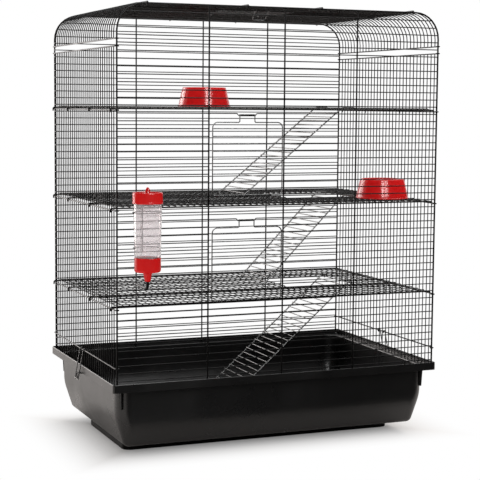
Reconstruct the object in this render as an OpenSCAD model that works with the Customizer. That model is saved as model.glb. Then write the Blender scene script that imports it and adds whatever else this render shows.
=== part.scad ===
// Rat cage: a deep plastic tray carries a top of welded wire panels with three mesh shelves, ladders,
// doors, food bowls and a drinking bottle. X runs to the right, the front faces -Y and Z is up.
// The origin is the centre of the tray's foot, on the surface that it stands on.

/* [Tray] */
// Width of the tray over its rim
tray_w = 800; // [780:1:830]
// Depth of the tray over its rim
tray_d = 523; // [500:1:550]
// Height of the tray from its foot to the top of its rim
tray_h = 177; // [170:1:200]
// Height of the rim band
rim_h = 18; // [16:0.5:22]
// Thickness of the rim band
rim_t = 2; // [1.6:0.1:2.2]
// Corner radius of the rim
rim_corner_r = 6; // [4:0.5:7]
// Depth of the ledge below the top of the rim
ledge_drop = 12; // [10:0.5:13]
// Wall thickness of the basin
tray_wall = 2.5; // [2:0.1:3]
// Setback of the basin wall from the outside of the rim
basin_setback = 18; // [15:0.5:22]
// Corner radius of the basin at its top
basin_corner_r = 35; // [34:1:50]
// Height at which the basin wall starts to curve in
basin_curve_z = 112; // [105:1:120]
// Radius of the wall's curve
basin_curve_r = 105; // [95:1:130]
// Lean of the lower wall, in degrees
basin_lean = 17.7; // [15:0.1:18.5]
// Radius between the wall and the bottom
basin_fillet_r = 15; // [12:0.5:17]
// Height of the stepped-down foot
foot_h = 27; // [20:1:32]
// Width of the foot
foot_w = 677; // [600:1:690]
// Depth of the foot
foot_d = 285.4; // [240:1:330]
// Corner radius of the foot
foot_corner_r = 20; // [10:1:30]
// Length of the corner fins under the rim
fin_h = 42; // [30:1:50]
// Thickness of the corner fins
fin_t = 4; // [3:0.5:6]
// How far the corner fins stand out of the basin
fin_reach = 9; // [6:0.5:10]

/* [Wire top] */
// Distance from the side of the rim to the corner wires
corner_inset_x = 10; // [8:0.5:12]
// Distance from the front of the rim to the corner wires
corner_inset_y = 4.5; // [4.4:0.1:7]
// Diameter of the frame and corner wires
frame_d = 4; // [3.4:0.1:4.2]
// Radius of the upper corners of the frame
frame_corner_r = 60; // [40:1:80]
// Diameter of the thick side wires
side_d = 3; // [2.5:0.1:3.5]
// Gap between a curled wire and the wire that it holds
curl_gap = 0.1; // [0.05:0.05:0.3]
// Diameter of the upright and arched wires
upright_d = 2; // [1.6:0.1:2.2]
// Number of gaps between the upright wires of a side
side_gaps = 31; // [28:1:34]
// Diameter of the level wires in the front and back
line_d = 1.8; // [1.5:0.1:2]
// Distance between the level wires
line_pitch = 16.62; // [16:0.02:17]
// Gap between the lowest level wire and the ledge
line_seat = 0.3; // [0.1:0.1:0.6]
// Diameter of the upright braces
brace_d = 3; // [2.5:0.1:3.2]
// Distance between the braces
brace_pitch = 180; // [170:1:190]
// Height of the lowest side wire above the ledge
base_wire_rise = 47; // [40:0.5:52]
// Height of the ventilation slot above the upper shelf's hook wire
slot_rise = 135.2; // [120:0.1:150]
// Distance between the two wires that bound the slot
slot_gap = 16.2; // [12:0.1:18]
// Straight height of the roof arches above the slot
roof_leg = 16.1; // [10:0.1:22]
// Outer cross wires of the roof, in from where its round corners begin
cross_inset = 8; // [5:1:20]
// Depth to which crossing wires are sunk into each other by the weld
weld_sink = 0.25; // [0.15:0.05:0.3]

/* [Shelves] */
// Height of the lower shelf's hook wire above the ledge
shelf_rise = 175.5; // [165:0.5:190]
// Distance between the shelves
shelf_pitch = 215; // [200:1:225]
// Diameter of the shelf bars
bar_d = 3.5; // [3:0.1:4]
// Length of the bar ends below the hook wire
bar_tip = 5; // [3:0.5:7]
// Diameter of the mesh wires
mesh_d = 1.8; // [1.5:0.1:2]
// Distance between the mesh wires that run to the back
mesh_pitch = 30; // [29:0.2:31]
// Distance between the mesh wires that run along the shelf
mesh_row_pitch = 116; // [112:1:118]
// Number of the mesh wire at the left of the ladder opening
opening_first = 16; // [15:1:16]
// Number of mesh gaps over the ladder opening
opening_gaps = 6; // [6:1:7]
// Distance from the corner wires to the first mesh wire
mesh_margin = 7.5; // [6:0.5:9]

/* [Front doors] */
// Number of the level wire that carries the lower door
lower_door_line = 11; // [10:1:12]
// Number of the level wire that carries the upper door
upper_door_line = 25; // [24:1:26]
// Number of wire gaps over a doorway
door_gaps = 11; // [10:1:12]
// Diameter of the door frame wire
door_d = 2.5; // [2:0.1:2.8]
// Clear distance from the left brace to the door frame
door_side_left = 6.25; // [3:0.25:8]
// Clear distance from the door frame to the right brace
door_side_right = 1.25; // [1:0.25:3]
// Distance from the latch wire down to the top of the door
door_top_drop = 19.4; // [18:0.2:24]
// Height of the door's lower wire above its hinge wire
door_foot_rise = 2.9; // [2.8:0.1:3.2]
// Corner radius of the door
door_corner_r = 12; // [8:0.5:13]
// Width of the latch loop
loop_w = 36; // [30:1:44]
// Distance from the left brace to the middle of the latch loop
loop_x = 91; // [75:1:105]
// Depth of the dip in the latch wire
latch_dip = 5; // [4:0.5:7]
// Diameter of the hinge ring wire
ring_d = 2; // [1.6:0.1:2.2]
// Running gap of rings, hooks and other turning wires
turn_gap = 0.3; // [0.2:0.05:0.4]

/* [Roof door] */
// Distance of the inner cross wires from the middle
cross_inner_x = 90; // [80:1:100]
// Clear distance from a cross wire to the roof door
roof_door_side = 1.25; // [1:0.25:4]
// Number of the roof arch in front of the roof door
roof_door_front = 8; // [7:1:9]
// Number of the roof arch that carries the roof door
roof_door_hinge = 18; // [17:1:19]
// Distance from the front arch to the roof door
roof_door_gap = 4.5; // [4:0.1:6]
// Diameter of the latch wire
latch_d = 2; // [1.6:0.1:2.2]
// Width of the latch clip
latch_w = 32; // [26:1:38]
// Distance of the latch clip from the middle
latch_x = 4; // [-10:1:20]
// Length of the latch clip
latch_l = 31; // [26:1:34]
// Tilt of the hanging latch from the vertical, in degrees
latch_tilt = 49; // [40:1:55]

/* [Ladders] */
// Width between the ladder rails
ladder_w = 150; // [130:1:152]
// Middle of the ladders, measured to the back
ladder_y = 25; // [24:1:26]
// Diameter of the ladder rails
rail_d = 3; // [2.5:0.1:3.2]
// Diameter of the rungs
rung_d = 2; // [1.6:0.1:2.2]
// Distance between the rungs
rung_pitch = 15.2; // [12:0.1:20]
// Distance from the rail's foot to the first rung, and at least from the last rung to the bend
rung_first = 11; // [6:0.5:14]
// Level run of the upper ladder's rails behind their hooks
upper_ladder_top = 29.5; // [20:0.5:36]
// Horizontal reach of the upper ladder's slope
upper_ladder_reach = 264; // [250:1:290]
// Level run of the middle ladder's rails
middle_ladder_top = 25; // [18:0.5:36]
// Horizontal reach of the middle ladder's slope
middle_ladder_reach = 212; // [200:1:240]
// Level run of the lower ladder's rails
lower_ladder_top = 7.5; // [6:0.5:20]
// Horizontal reach of the lower ladder's slope
lower_ladder_reach = 398; // [370:1:420]

/* [Bowls] */
// Diameter of a bowl at its foot
bowl_foot_d = 127; // [115:1:132]
// Diameter of a bowl at its rim
bowl_rim_d = 105; // [98:1:110]
// Height of a bowl
bowl_h = 46; // [38:1:52]
// Width of the bowl's rim
bowl_rim_w = 6; // [5:0.5:8]
// Depth of the food hollow
bowl_depth = 34; // [28:1:35]
// Wall thickness of a bowl
bowl_wall = 2.5; // [2:0.1:3]
// Place of the upper bowl to the right of the middle
upper_bowl_x = -73; // [-120:1:0]
// Place of the upper bowl behind the middle
upper_bowl_y = 55; // [0:1:100]
// Place of the middle bowl to the right of the middle
middle_bowl_x = 308; // [300:1:315]
// Place of the middle bowl behind the middle
middle_bowl_y = -148; // [-160:1:-140]

/* [Bottle] */
// Bottle's axis, in from the left end of the front
bottle_inset = 55; // [45:1:130]
// Distance from the corner wires' plane forward to the bottle's axis
bottle_out = 42.6; // [42:0.1:46]
// Height of the bottle's shoulder above its tube
bottle_shoulder = 69; // [64:0.5:74]
// Length of the clear body above its shoulder
bottle_l = 131; // [115:1:150]
// Diameter of the clear body at its upper end
bottle_d = 60.5; // [57:0.5:61]
// Diameter of the clear body at its shoulder
bottle_lower_d = 57; // [55:0.5:57.5]
// Diameter of the bottle's neck
neck_d = 50; // [46:0.5:51]
// Wall thickness of the bottle
bottle_wall = 1.5; // [1.2:0.1:1.8]
// Length of the neck below the shoulder
neck_l = 23; // [20:0.5:24]
// Diameter of the screw cap
cap_d = 57.4; // [56:0.2:60]
// Height of the screw cap
cap_h = 31.4; // [29:0.2:33]
// Wall thickness of the caps
cap_wall = 2.4; // [2:0.1:2.6]
// Length of the spout cone
spout_l = 20; // [16:0.5:22]
// Diameter of the spout at its root
spout_root_d = 20; // [18:0.5:22]
// Diameter of the spout at its tip
spout_tip_d = 12.6; // [11:0.2:14]
// Diameter of the lid
lid_d = 66; // [65:0.5:68]
// Height of the lid's skirt
lid_h = 24; // [21:0.5:26]
// Depth of the dish in the lid
lid_dish = 14; // [11:0.5:15]
// Height of the lid's knob
knob_h = 25; // [20:0.5:28]
// Diameter of the knob at its root
knob_d = 18; // [14:0.5:22]
// Diameter of the drinking tube
tube_d = 7; // [6:0.1:7.5]
// Wall thickness of the drinking tube
tube_wall = 0.6; // [0.5:0.05:0.7]
// Radius of the tube's bend
tube_bend_r = 9; // [7:0.5:12]
// Reach of the tube behind the front wires
tube_reach = 25; // [15:1:35]
// Number of the level wire just below the tube
tube_line = 13; // [13:1:14]
// Diameter of the holder's wire
holder_d = 2.5; // [2:0.1:2.8]
// Number of the level wire that the holder hangs on
holder_line = 24; // [23:1:24]
// Length of the holder
holder_l = 98; // [90:1:99]
// Turn of the holder's hook over the level wire, in degrees
hook_turn = 150; // [120:5:160]

/* [Rim clips] */
// Diameter of the clip wire
clip_d = 2.5; // [2:0.1:2.8]
// Width of a clip between its legs
clip_w = 26; // [22:1:34]
// Clear distance between the rim and the clip's legs
clip_out = 1.95; // [1:0.05:3]
// Radius of the clip's finger loops
clip_loop_r = 4; // [3:0.5:5]
// Length of the finger loops below the rim
clip_drop = 13; // [10:0.5:18]

/* [Hidden] */
$fn = 48;

// A welded wire has eight sides: its half width across the flats, and half the width of one flat
function flat(d) = round(d * 500 * cos(22.5)) / 1000;
function flat_edge(d) = round(d * 500 * sin(22.5)) / 1000;

// Places of welded wires are kept to whole hundredths, so that pieces of one wire meet exactly
function hundredth(v) = round(v * 100) / 100;

// Colours
black_wire = [0.13, 0.12, 0.13];
zinc = [0.60, 0.60, 0.60];
tray_black = [0.17, 0.17, 0.18];
red = [0.80, 0.10, 0.12];
clear = [0.90, 0.93, 0.95, 0.4];
steel = [0.35, 0.35, 0.36];
rubber = [0.10, 0.10, 0.10];

// Small steps that let cuts run past a face and pieces share volume in one solid
cut = 1;
joint_swell = 0.3;

// Plan and heights of the wire top
half_w = tray_w / 2 - corner_inset_x;
half_d = tray_d / 2 - corner_inset_y;
ledge_z = tray_h - ledge_drop;
rim_bottom_z = tray_h - rim_h;
base_wire_z = ledge_z + base_wire_rise;
lower_shelf_z = ledge_z + shelf_rise;
middle_shelf_z = lower_shelf_z + shelf_pitch;
upper_shelf_z = middle_shelf_z + shelf_pitch;
slot_low_z = upper_shelf_z + slot_rise;
slot_high_z = slot_low_z + slot_gap;
arch_z = slot_high_z + roof_leg;
arch_x = half_w - frame_corner_r;
cross_outer_x = arch_x - cross_inset;
bottle_x = bottle_inset - half_w;
frame_top_z = arch_z + frame_corner_r;

// Layers of the welded wires, counted outwards from the middle of the cage
curl_r = (frame_d + side_d) / 2 + curl_gap;
outer_x = half_w + curl_r;
upright_x = hundredth(outer_x - flat(side_d) - flat(upright_d) + weld_sink);
line_y = hundredth(half_d - flat(frame_d) - flat(line_d) + weld_sink);
brace_y = hundredth(line_y + flat(line_d) + flat(brace_d) - weld_sink);
upright_pitch = 2 * half_d / side_gaps;
roof_arch_r = upright_x - arch_x;
roof_z = arch_z + roof_arch_r;
cross_z = hundredth(roof_z + flat(upright_d) + flat(side_d) - weld_sink);

// Level wires of the front and back
line_z0 = ledge_z + line_d / 2 + line_seat;
line_top_gap = 16;
line_end_gap = 0.5;
line_count = floor((frame_top_z - line_top_gap - line_z0) / line_pitch) + 1;
function line_z(i) = line_z0 + line_pitch * i;
function line_half(z) = z <= arch_z ? half_w
    : hundredth(arch_x + sqrt(pow(frame_corner_r - frame_d / 2 - line_end_gap, 2) - pow(z - arch_z, 2)));
function upright_y(i) = hundredth(-half_d + upright_pitch * i);

// Wire number i is cut by a doorway that starts above wire number first
function in_doorway(i, first) = i > first && i < first + door_gaps;

// The section of a welded wire, with flats on its four main sides
module fine_section(d) {
    f = flat(d);
    e = flat_edge(d);
    polygon([[f, e], [e, f], [-e, f], [-f, e], [-f, -e], [-e, -f], [e, -f], [f, -e]]);
}

// A welded wire along X, Y or Z
module fine_x(x0, x1, y, z, d) {
    translate([x0, y, z]) rotate([90, 0, 90]) linear_extrude(x1 - x0) fine_section(d);
}

module fine_y(x, y0, y1, z, d) {
    translate([x, y1, z]) rotate([90, 0, 0]) linear_extrude(y1 - y0) fine_section(d);
}

module fine_z(x, y, z0, z1, d) {
    translate([x, y, z0]) linear_extrude(z1 - z0) fine_section(d);
}

// Such a wire bent about an axis along Z, Y or X
module fine_bend_z(centre, r, a, turn, d) {
    translate(centre) rotate([0, 0, a]) rotate_extrude(angle = turn) translate([r, 0]) fine_section(d);
}

module fine_bend_y(centre, r, a, turn, d) {
    translate(centre) rotate([90, 0, 0]) rotate([0, 0, a]) rotate_extrude(angle = turn)
        translate([r, 0]) fine_section(d);
}

module fine_bend_x(centre, r, a, turn, d) {
    translate(centre) rotate([90, 0, 90]) rotate([0, 0, a]) rotate_extrude(angle = turn)
        translate([r, 0]) fine_section(d);
}

// A round wire from point a to point b
module pipe(a, b, d) {
    v = b - a;
    translate(a) rotate([0, acos(v.z / norm(v)), atan2(v.y, v.x)]) cylinder(h = norm(v), d = d);
}

// A round wire through all points, with full bends
module bent_wire(points, d) {
    for (i = [0 : len(points) - 2]) pipe(points[i], points[i + 1], d);
    for (i = [1 : len(points) - 2]) translate(points[i]) sphere(d = d + joint_swell);
}

// Round wire bent about an axis along Z, Y or X, from angle a over the given turn
module bend_z(centre, r, a, turn, d) {
    translate(centre) rotate([0, 0, a]) rotate_extrude(angle = turn) translate([r, 0]) circle(d = d);
}

module bend_y(centre, r, a, turn, d) {
    translate(centre) rotate([90, 0, 0]) rotate([0, 0, a]) rotate_extrude(angle = turn)
        translate([r, 0]) circle(d = d);
}

module bend_x(centre, r, a, turn, d) {
    translate(centre) rotate([90, 0, 90]) rotate([0, 0, a]) rotate_extrude(angle = turn)
        translate([r, 0]) circle(d = d);
}

// Tray
basin_x = tray_w / 2 - basin_setback - basin_corner_r;
basin_y = tray_d / 2 - basin_setback - basin_corner_r;
curve_steps = 6;
lean_in = basin_curve_r * (1 - cos(basin_lean));
lean_z = basin_curve_z - basin_curve_r * sin(basin_lean);
fillet_z = foot_h + basin_fillet_r;
fillet_start_z = fillet_z - basin_fillet_r * sin(basin_lean);
fillet_start_in = lean_in + (lean_z - fillet_start_z) * tan(basin_lean);
fillet_in = fillet_start_in + basin_fillet_r * cos(basin_lean);

// Side of the basin as radius and height, for the outer face (t = 0) or the inner one (t = wall)
function basin_side(t, top) = concat(
    [[basin_corner_r - t, top]],
    [for (i = [0 : curve_steps]) let (a = basin_lean * i / curve_steps)
        [basin_corner_r - basin_curve_r + (basin_curve_r - t) * cos(a),
         basin_curve_z - (basin_curve_r - t) * sin(a)]],
    [for (i = [0 : curve_steps]) let (a = basin_lean + (90 - basin_lean) * i / curve_steps)
        [basin_corner_r - fillet_in + (basin_fillet_r - t) * cos(a),
         fillet_z - (basin_fillet_r - t) * sin(a)]]);

function full_section(side, reach) = concat(
    [for (p = side) [reach + p.x, p.y]],
    [for (i = [len(side) - 1 : -1 : 0]) [-reach - side[i].x, side[i].y]]);

module basin_block(t, top) {
    side = basin_side(t, top);
    post = concat([[0, top]], side, [[0, side[len(side) - 1].y]]);
    for (sx = [-1, 1], sy = [-1, 1]) translate([sx * basin_x, sy * basin_y, 0])
        rotate_extrude() polygon(post);
    translate([0, basin_y, 0]) rotate([90, 0, 0]) linear_extrude(2 * basin_y)
        polygon(full_section(side, basin_x));
    translate([-basin_x, 0, 0]) rotate([90, 0, 90]) linear_extrude(2 * basin_x)
        polygon(full_section(side, basin_y));
}

module rounded_slab(w, d, r, z0, z1) {
    translate([0, 0, z0]) linear_extrude(z1 - z0) union() {
        square([w - 2 * r, d], center = true);
        square([w, d - 2 * r], center = true);
        for (sx = [-1, 1], sy = [-1, 1]) translate([sx * (w / 2 - r), sy * (d / 2 - r)]) circle(r = r);
    }
}

module rim_ring() {
    inner_w = tray_w - 2 * rim_t;
    inner_d = tray_d - 2 * rim_t;
    inner_r = rim_corner_r - rim_t;
    difference() {
        rounded_slab(tray_w, tray_d, rim_corner_r, rim_bottom_z, tray_h);
        rounded_slab(inner_w, inner_d, inner_r, ledge_z, tray_h + cut);
        rounded_slab(inner_w, inner_d, inner_r, rim_bottom_z - cut, ledge_z - tray_wall);
    }
}

module corner_fins() {
    root = basin_corner_r - tray_wall / 2;
    for (sx = [-1, 1], sy = [-1, 1]) translate([sx * basin_x, sy * basin_y, 0])
        rotate([0, 0, atan2(sy, sx)]) translate([root, -fin_t / 2, rim_bottom_z - fin_h])
            cube([fin_reach + tray_wall / 2, fin_t, fin_h + rim_h - ledge_drop - tray_wall / 2]);
}

module tray() {
    inner_foot_r = foot_corner_r - tray_wall;
    color(tray_black) difference() {
        union() {
            basin_block(0, ledge_z);
            rim_ring();
            corner_fins();
            rounded_slab(foot_w, foot_d, foot_corner_r, 0, foot_h + tray_wall / 2);
        }
        basin_block(tray_wall, ledge_z + cut);
        rounded_slab(foot_w - 2 * tray_wall, foot_d - 2 * tray_wall, inner_foot_r, tray_wall,
            foot_h + tray_wall + cut);
    }
}

// Front and back panels
module frame_hoop(y) {
    for (sx = [-1, 1]) fine_z(sx * half_w, y, ledge_z, arch_z, frame_d);
    fine_x(-arch_x, arch_x, y, frame_top_z, frame_d);
    fine_bend_y([arch_x, y, arch_z], frame_corner_r, 0, 90, frame_d);
    fine_bend_y([-arch_x, y, arch_z], frame_corner_r, 90, 90, frame_d);
}

module braces(y) {
    for (i = [-1 : 1]) fine_z(i * brace_pitch, y, ledge_z, frame_top_z - flat(frame_d) + weld_sink, brace_d);
}

// Latch wire of a doorway: level, with a dip below the door's loop that is pressed back clear of its legs
loop_mid_x = loop_x - brace_pitch;
dip_slope = 4;
dip_reach = 2;
dip_back = 0.65;

module latch_wire(z) {
    left = hundredth(loop_mid_x - loop_w / 2 - door_d / 2 - turn_gap);
    right = hundredth(loop_mid_x + loop_w / 2 + door_d / 2 + turn_gap);
    run = [[left - dip_slope - dip_reach, 0], [left - dip_slope, 0], [left, -latch_dip],
        [right, -latch_dip], [right + dip_slope, 0], [right + dip_slope + dip_reach, 0]];
    upper = [for (p = run) [p.x, p.y + line_d / 2]];
    lower = [for (i = [len(run) - 1 : -1 : 0]) [run[i].x, run[i].y - line_d / 2]];
    fine_x(-line_half(z), left - dip_slope - dip_reach / 2, -line_y, z, line_d);
    fine_x(right + dip_slope + dip_reach / 2, line_half(z), -line_y, z, line_d);
    translate([0, -line_y + line_d / 2 + dip_back, z]) rotate([90, 0, 0]) linear_extrude(line_d)
        polygon(concat(upper, lower));
}

module front_panel() {
    latch_lines = [lower_door_line + door_gaps, upper_door_line + door_gaps];
    color(black_wire) {
        frame_hoop(-half_d);
        braces(-brace_y);
        for (i = [0 : line_count - 1]) {
            z = line_z(i);
            if (in_doorway(i, lower_door_line) || in_doorway(i, upper_door_line)) {
                fine_x(-line_half(z), -brace_pitch + flat(brace_d), -line_y, z, line_d);
                fine_x(-flat(brace_d), line_half(z), -line_y, z, line_d);
            } else if (len(search(i, latch_lines)) > 0) {
                latch_wire(z);
            } else {
                fine_x(-line_half(z), line_half(z), -line_y, z, line_d);
            }
        }
    }
}

module back_panel() {
    color(black_wire) {
        frame_hoop(half_d);
        braces(brace_y);
        for (i = [0 : line_count - 1])
            fine_x(-line_half(line_z(i)), line_half(line_z(i)), line_y, line_z(i), line_d);
    }
}

// Thick wire along a side, curled round the corner wires at both ends
module side_wire(z) {
    fine_y(outer_x, -half_d, half_d, z, side_d);
    fine_bend_z([half_w, -half_d, z], curl_r, 180, 180, side_d);
    fine_bend_z([half_w, half_d, z], curl_r, 0, 180, side_d);
}

module side_wires() {
    for (z = [base_wire_z, lower_shelf_z, middle_shelf_z, upper_shelf_z, slot_low_z]) side_wire(z);
    for (i = [1 : side_gaps - 1])
        fine_z(upright_x, upright_y(i), ledge_z, slot_low_z + upright_d / 2, upright_d);
}

module right_side_panel() {
    color(black_wire) side_wires();
}

module left_side_panel() {
    color(black_wire) mirror([1, 0, 0]) side_wires();
}

// Roof panel
module roof_leg_and_arch(y) {
    fine_z(upright_x, y, slot_high_z - upright_d / 2, arch_z, upright_d);
    fine_bend_y([arch_x, y, arch_z], roof_arch_r, 0, 90, upright_d);
}

module cross_wire(x) {
    r = cross_z - frame_top_z;
    fine_y(x, -half_d, half_d, cross_z, side_d);
    fine_bend_x([x, -half_d, frame_top_z], r, 90, 180, side_d);
    fine_bend_x([x, half_d, frame_top_z], r, -90, 180, side_d);
}

module roof_panel() {
    door_edge = cross_inner_x - side_d / 2;
    color(black_wire) {
        for (i = [1 : side_gaps - 1]) {
            y = upright_y(i);
            roof_leg_and_arch(y);
            mirror([1, 0, 0]) roof_leg_and_arch(y);
            if (i > roof_door_front && i < roof_door_hinge) {
                fine_x(-arch_x, -door_edge, y, roof_z, upright_d);
                fine_x(door_edge, arch_x, y, roof_z, upright_d);
            } else {
                fine_x(-arch_x, arch_x, y, roof_z, upright_d);
            }
        }
        for (x = [-cross_outer_x, -cross_inner_x, cross_inner_x, cross_outer_x]) cross_wire(x);
        side_wire(slot_high_z);
        mirror([1, 0, 0]) side_wire(slot_high_z);
    }
}

// Shelves: heights are counted from the hook wire of the side panels
bar_gaps = [1.5, 11.5, 22.5, 30.5];
bar_rise = (bar_d + side_d) / 2 + curl_gap;
mesh_rise = hundredth(bar_rise + flat(bar_d) + flat(mesh_d) - weld_sink);
row_rise = hundredth(mesh_rise + 2 * flat(mesh_d) - weld_sink);
shelf_top = row_rise + mesh_d / 2;
mesh_over = 2;
mesh_half = half_w - mesh_margin;
mesh_count = floor(2 * mesh_half / mesh_pitch) + 1;
row_first = 7;
function bar_y(i) = hundredth(-half_d + upright_pitch * bar_gaps[i]);
function mesh_x(i) = -mesh_half + i * mesh_pitch;
opening_left = mesh_x(opening_first);
opening_right = mesh_x(opening_first + opening_gaps);
row_count = floor((bar_y(3) - bar_y(0) - row_first) / mesh_row_pitch) + 1;

module shelf_bar(y, z) {
    fine_x(-outer_x, outer_x, y, z + bar_rise, bar_d);
    for (side = [0, 1]) mirror([side, 0, 0]) {
        fine_bend_y([outer_x, y, z], bar_rise, 0, 90, bar_d);
        fine_z(outer_x + bar_rise, y, z - bar_tip, z, bar_d);
    }
}

module shelf(z) {
    front = bar_y(0) - mesh_over;
    back = bar_y(3) + mesh_over;
    side = mesh_half + mesh_over;
    color(black_wire) {
        for (i = [0 : 3]) shelf_bar(bar_y(i), z);
        for (i = [0 : mesh_count - 1]) {
            if (i > opening_first && i < opening_first + opening_gaps) {
                fine_y(mesh_x(i), front, bar_y(1) + bar_d / 2, z + mesh_rise, mesh_d);
                fine_y(mesh_x(i), bar_y(2) - bar_d / 2, back, z + mesh_rise, mesh_d);
            } else {
                fine_y(mesh_x(i), front, back, z + mesh_rise, mesh_d);
            }
        }
        for (i = [0 : row_count - 1]) {
            y = bar_y(0) + row_first + mesh_row_pitch * i;
            if (y > bar_y(1) && y < bar_y(2)) {
                fine_x(-side, opening_left + mesh_d / 2, y, z + row_rise, mesh_d);
                fine_x(opening_right - mesh_d / 2, side, y, z + row_rise, mesh_d);
            } else {
                fine_x(-side, side, y, z + row_rise, mesh_d);
            }
        }
    }
}

module upper_shelf() {
    shelf(upper_shelf_z);
}

module middle_shelf() {
    shelf(middle_shelf_z);
}

module lower_shelf() {
    shelf(lower_shelf_z);
}

// Ladders: the rails hook over the right edge wire of a shelf opening and stand on the floor below
hook_r = (mesh_d + rail_d) / 2 + turn_gap;

module ladder(shelf_z, floor_z, top, reach) {
    edge_z = shelf_z + mesh_rise;
    head = [opening_right - top, edge_z + hook_r];
    foot = [head.x - reach, floor_z + turn_gap + rail_d / 2];
    slope = head - foot;
    along = slope / norm(slope);
    up = [-along.y, along.x] * (rail_d + rung_d - weld_sink) / 2;
    rungs = floor((norm(slope) - 2 * rung_first) / rung_pitch) + 1;
    color(zinc) {
        for (side = [-1, 1]) {
            y = ladder_y + side * ladder_w / 2;
            bend_y([opening_right, y, edge_z], hook_r, -90, 180, rail_d);
            bent_wire([[opening_right, y, head.y], [head.x, y, head.y], [foot.x, y, foot.y]], rail_d);
            translate([foot.x, y, foot.y]) sphere(d = rail_d + joint_swell);
        }
        for (i = [0 : rungs - 1]) {
            p = foot + along * (rung_first + rung_pitch * i) + up;
            reach_y = ladder_w / 2 + rail_d / 2;
            pipe([p.x, ladder_y - reach_y, p.y], [p.x, ladder_y + reach_y, p.y], rung_d);
        }
    }
}

module upper_ladder() {
    ladder(upper_shelf_z, middle_shelf_z + shelf_top, upper_ladder_top, upper_ladder_reach);
}

module middle_ladder() {
    ladder(middle_shelf_z, lower_shelf_z + shelf_top, middle_ladder_top, middle_ladder_reach);
}

module lower_ladder() {
    ladder(lower_shelf_z, tray_wall, lower_ladder_top, lower_ladder_reach);
}

// Front doors: the frame lies in front of the door's own level wires
door_left = -brace_pitch + brace_d / 2 + door_side_left + door_d / 2;
door_right = -brace_d / 2 - door_side_right - door_d / 2;
door_y = line_y + flat(line_d) + door_d / 2 - weld_sink;
ring_r = (line_d + ring_d) / 2 + turn_gap;
ring_inset = 25;

module front_door(first) {
    hinge_z = line_z(first);
    latch_z = line_z(first + door_gaps);
    foot_z = hinge_z + door_foot_rise;
    top_z = latch_z - door_top_drop;
    hook_z = latch_z - latch_dip + (line_d + door_d) / 2 + turn_gap;
    left = loop_mid_x - loop_w / 2;
    right = loop_mid_x + loop_w / 2;
    r = door_corner_r;
    y = -door_y;
    color(zinc) {
        bent_wire([[door_left, y, top_z - r], [door_left, y, foot_z], [door_right, y, foot_z],
            [door_right, y, top_z - r]], door_d);
        bend_y([door_left + r, y, top_z - r], r, 90, 90, door_d);
        bend_y([door_right - r, y, top_z - r], r, 0, 90, door_d);
        bent_wire([[door_left + r, y, top_z], [left, y, top_z], [left, y, hook_z], [left, -line_y, hook_z],
            [right, -line_y, hook_z], [right, y, hook_z], [right, y, top_z], [door_right - r, y, top_z]],
            door_d);
        for (i = [1 : door_gaps - 2])
            fine_x(door_left - flat(door_d), door_right + flat(door_d), -line_y, line_z(first + i), line_d);
        for (x = [door_left + ring_inset, door_right - ring_inset])
            bend_y_ring([x, -line_y, hinge_z], ring_r, ring_d);
    }
}

// Full ring about an axis along X
module bend_y_ring(centre, r, d) {
    translate(centre) rotate([0, 90, 0]) rotate_extrude() translate([r, 0]) circle(d = d);
}

module upper_door() {
    front_door(upper_door_line);
}

module lower_door() {
    front_door(lower_door_line);
}

// Roof door and its latch
roof_door_z = roof_z + flat(line_d) + door_d / 2 - weld_sink;
roof_door_half = cross_inner_x - side_d / 2 - roof_door_side - door_d / 2;
roof_front_y = upright_y(roof_door_front) + roof_door_gap;
roof_hinge_y = upright_y(roof_door_hinge);
roof_ring_r = (upright_d + ring_d) / 2 + turn_gap;
roof_back_y = roof_hinge_y - sqrt(pow(roof_ring_r + ring_d / 2 + door_d / 4, 2)
    - pow(roof_door_z - roof_z, 2));
roof_corner_r = 10;

module roof_door() {
    r = roof_corner_r;
    z = roof_door_z;
    h = roof_door_half;
    color(zinc) {
        bent_wire([[-h, roof_front_y + r, z], [-h, roof_back_y, z], [h, roof_back_y, z],
            [h, roof_front_y + r, z]], door_d);
        pipe([-h + r, roof_front_y, z], [h - r, roof_front_y, z], door_d);
        bend_z([-h + r, roof_front_y + r, z], r, 180, 90, door_d);
        bend_z([h - r, roof_front_y + r, z], r, 270, 90, door_d);
        for (i = [roof_door_front + 1 : roof_door_hinge - 1])
            fine_x(-h - flat(door_d), h + flat(door_d), upright_y(i), roof_z, line_d);
        for (x = [-h + ring_inset, h - ring_inset])
            bend_y_ring([x, roof_hinge_y, roof_z], roof_ring_r, ring_d);
    }
}

latch_ring_r = (door_d + latch_d) / 2 + turn_gap;
latch_corner = 6;

module roof_door_latch() {
    half = latch_w / 2;
    far = -latch_ring_r - latch_l;
    near = -latch_ring_r;
    turn = far + latch_corner;
    color(zinc) translate([latch_x, roof_front_y, roof_door_z]) rotate([latch_tilt, 0, 0]) {
        for (x = [-half, half]) {
            bend_y_ring([x, 0, 0], latch_ring_r, latch_d);
            pipe([x, 0, near], [x, 0, turn], latch_d);
        }
        bend_y([-half + latch_corner, 0, turn], latch_corner, 180, 90, latch_d);
        bend_y([half - latch_corner, 0, turn], latch_corner, 270, 90, latch_d);
        pipe([-half + latch_corner, 0, far], [half - latch_corner, 0, far], latch_d);
    }
}

// Rim clips: they turn on the lowest side wire and catch under the rim
clip_ring_r = (side_d + clip_d) / 2 + turn_gap;
clip_leg_x = tray_w / 2 + clip_out + clip_d / 2;
clip_hook_x = tray_w / 2 - rim_t - clip_d / 2;
clip_eye_turn = 245;
clip_leg = [clip_leg_x - outer_x, tray_h - base_wire_z];
clip_tilt = atan2(clip_leg.y, clip_leg.x) + acos(clip_ring_r / norm(clip_leg));
clip_hook_z = rim_bottom_z - turn_gap - clip_d / 2 / cos(clip_tilt) - (rim_t + clip_d) * tan(clip_tilt);

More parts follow.
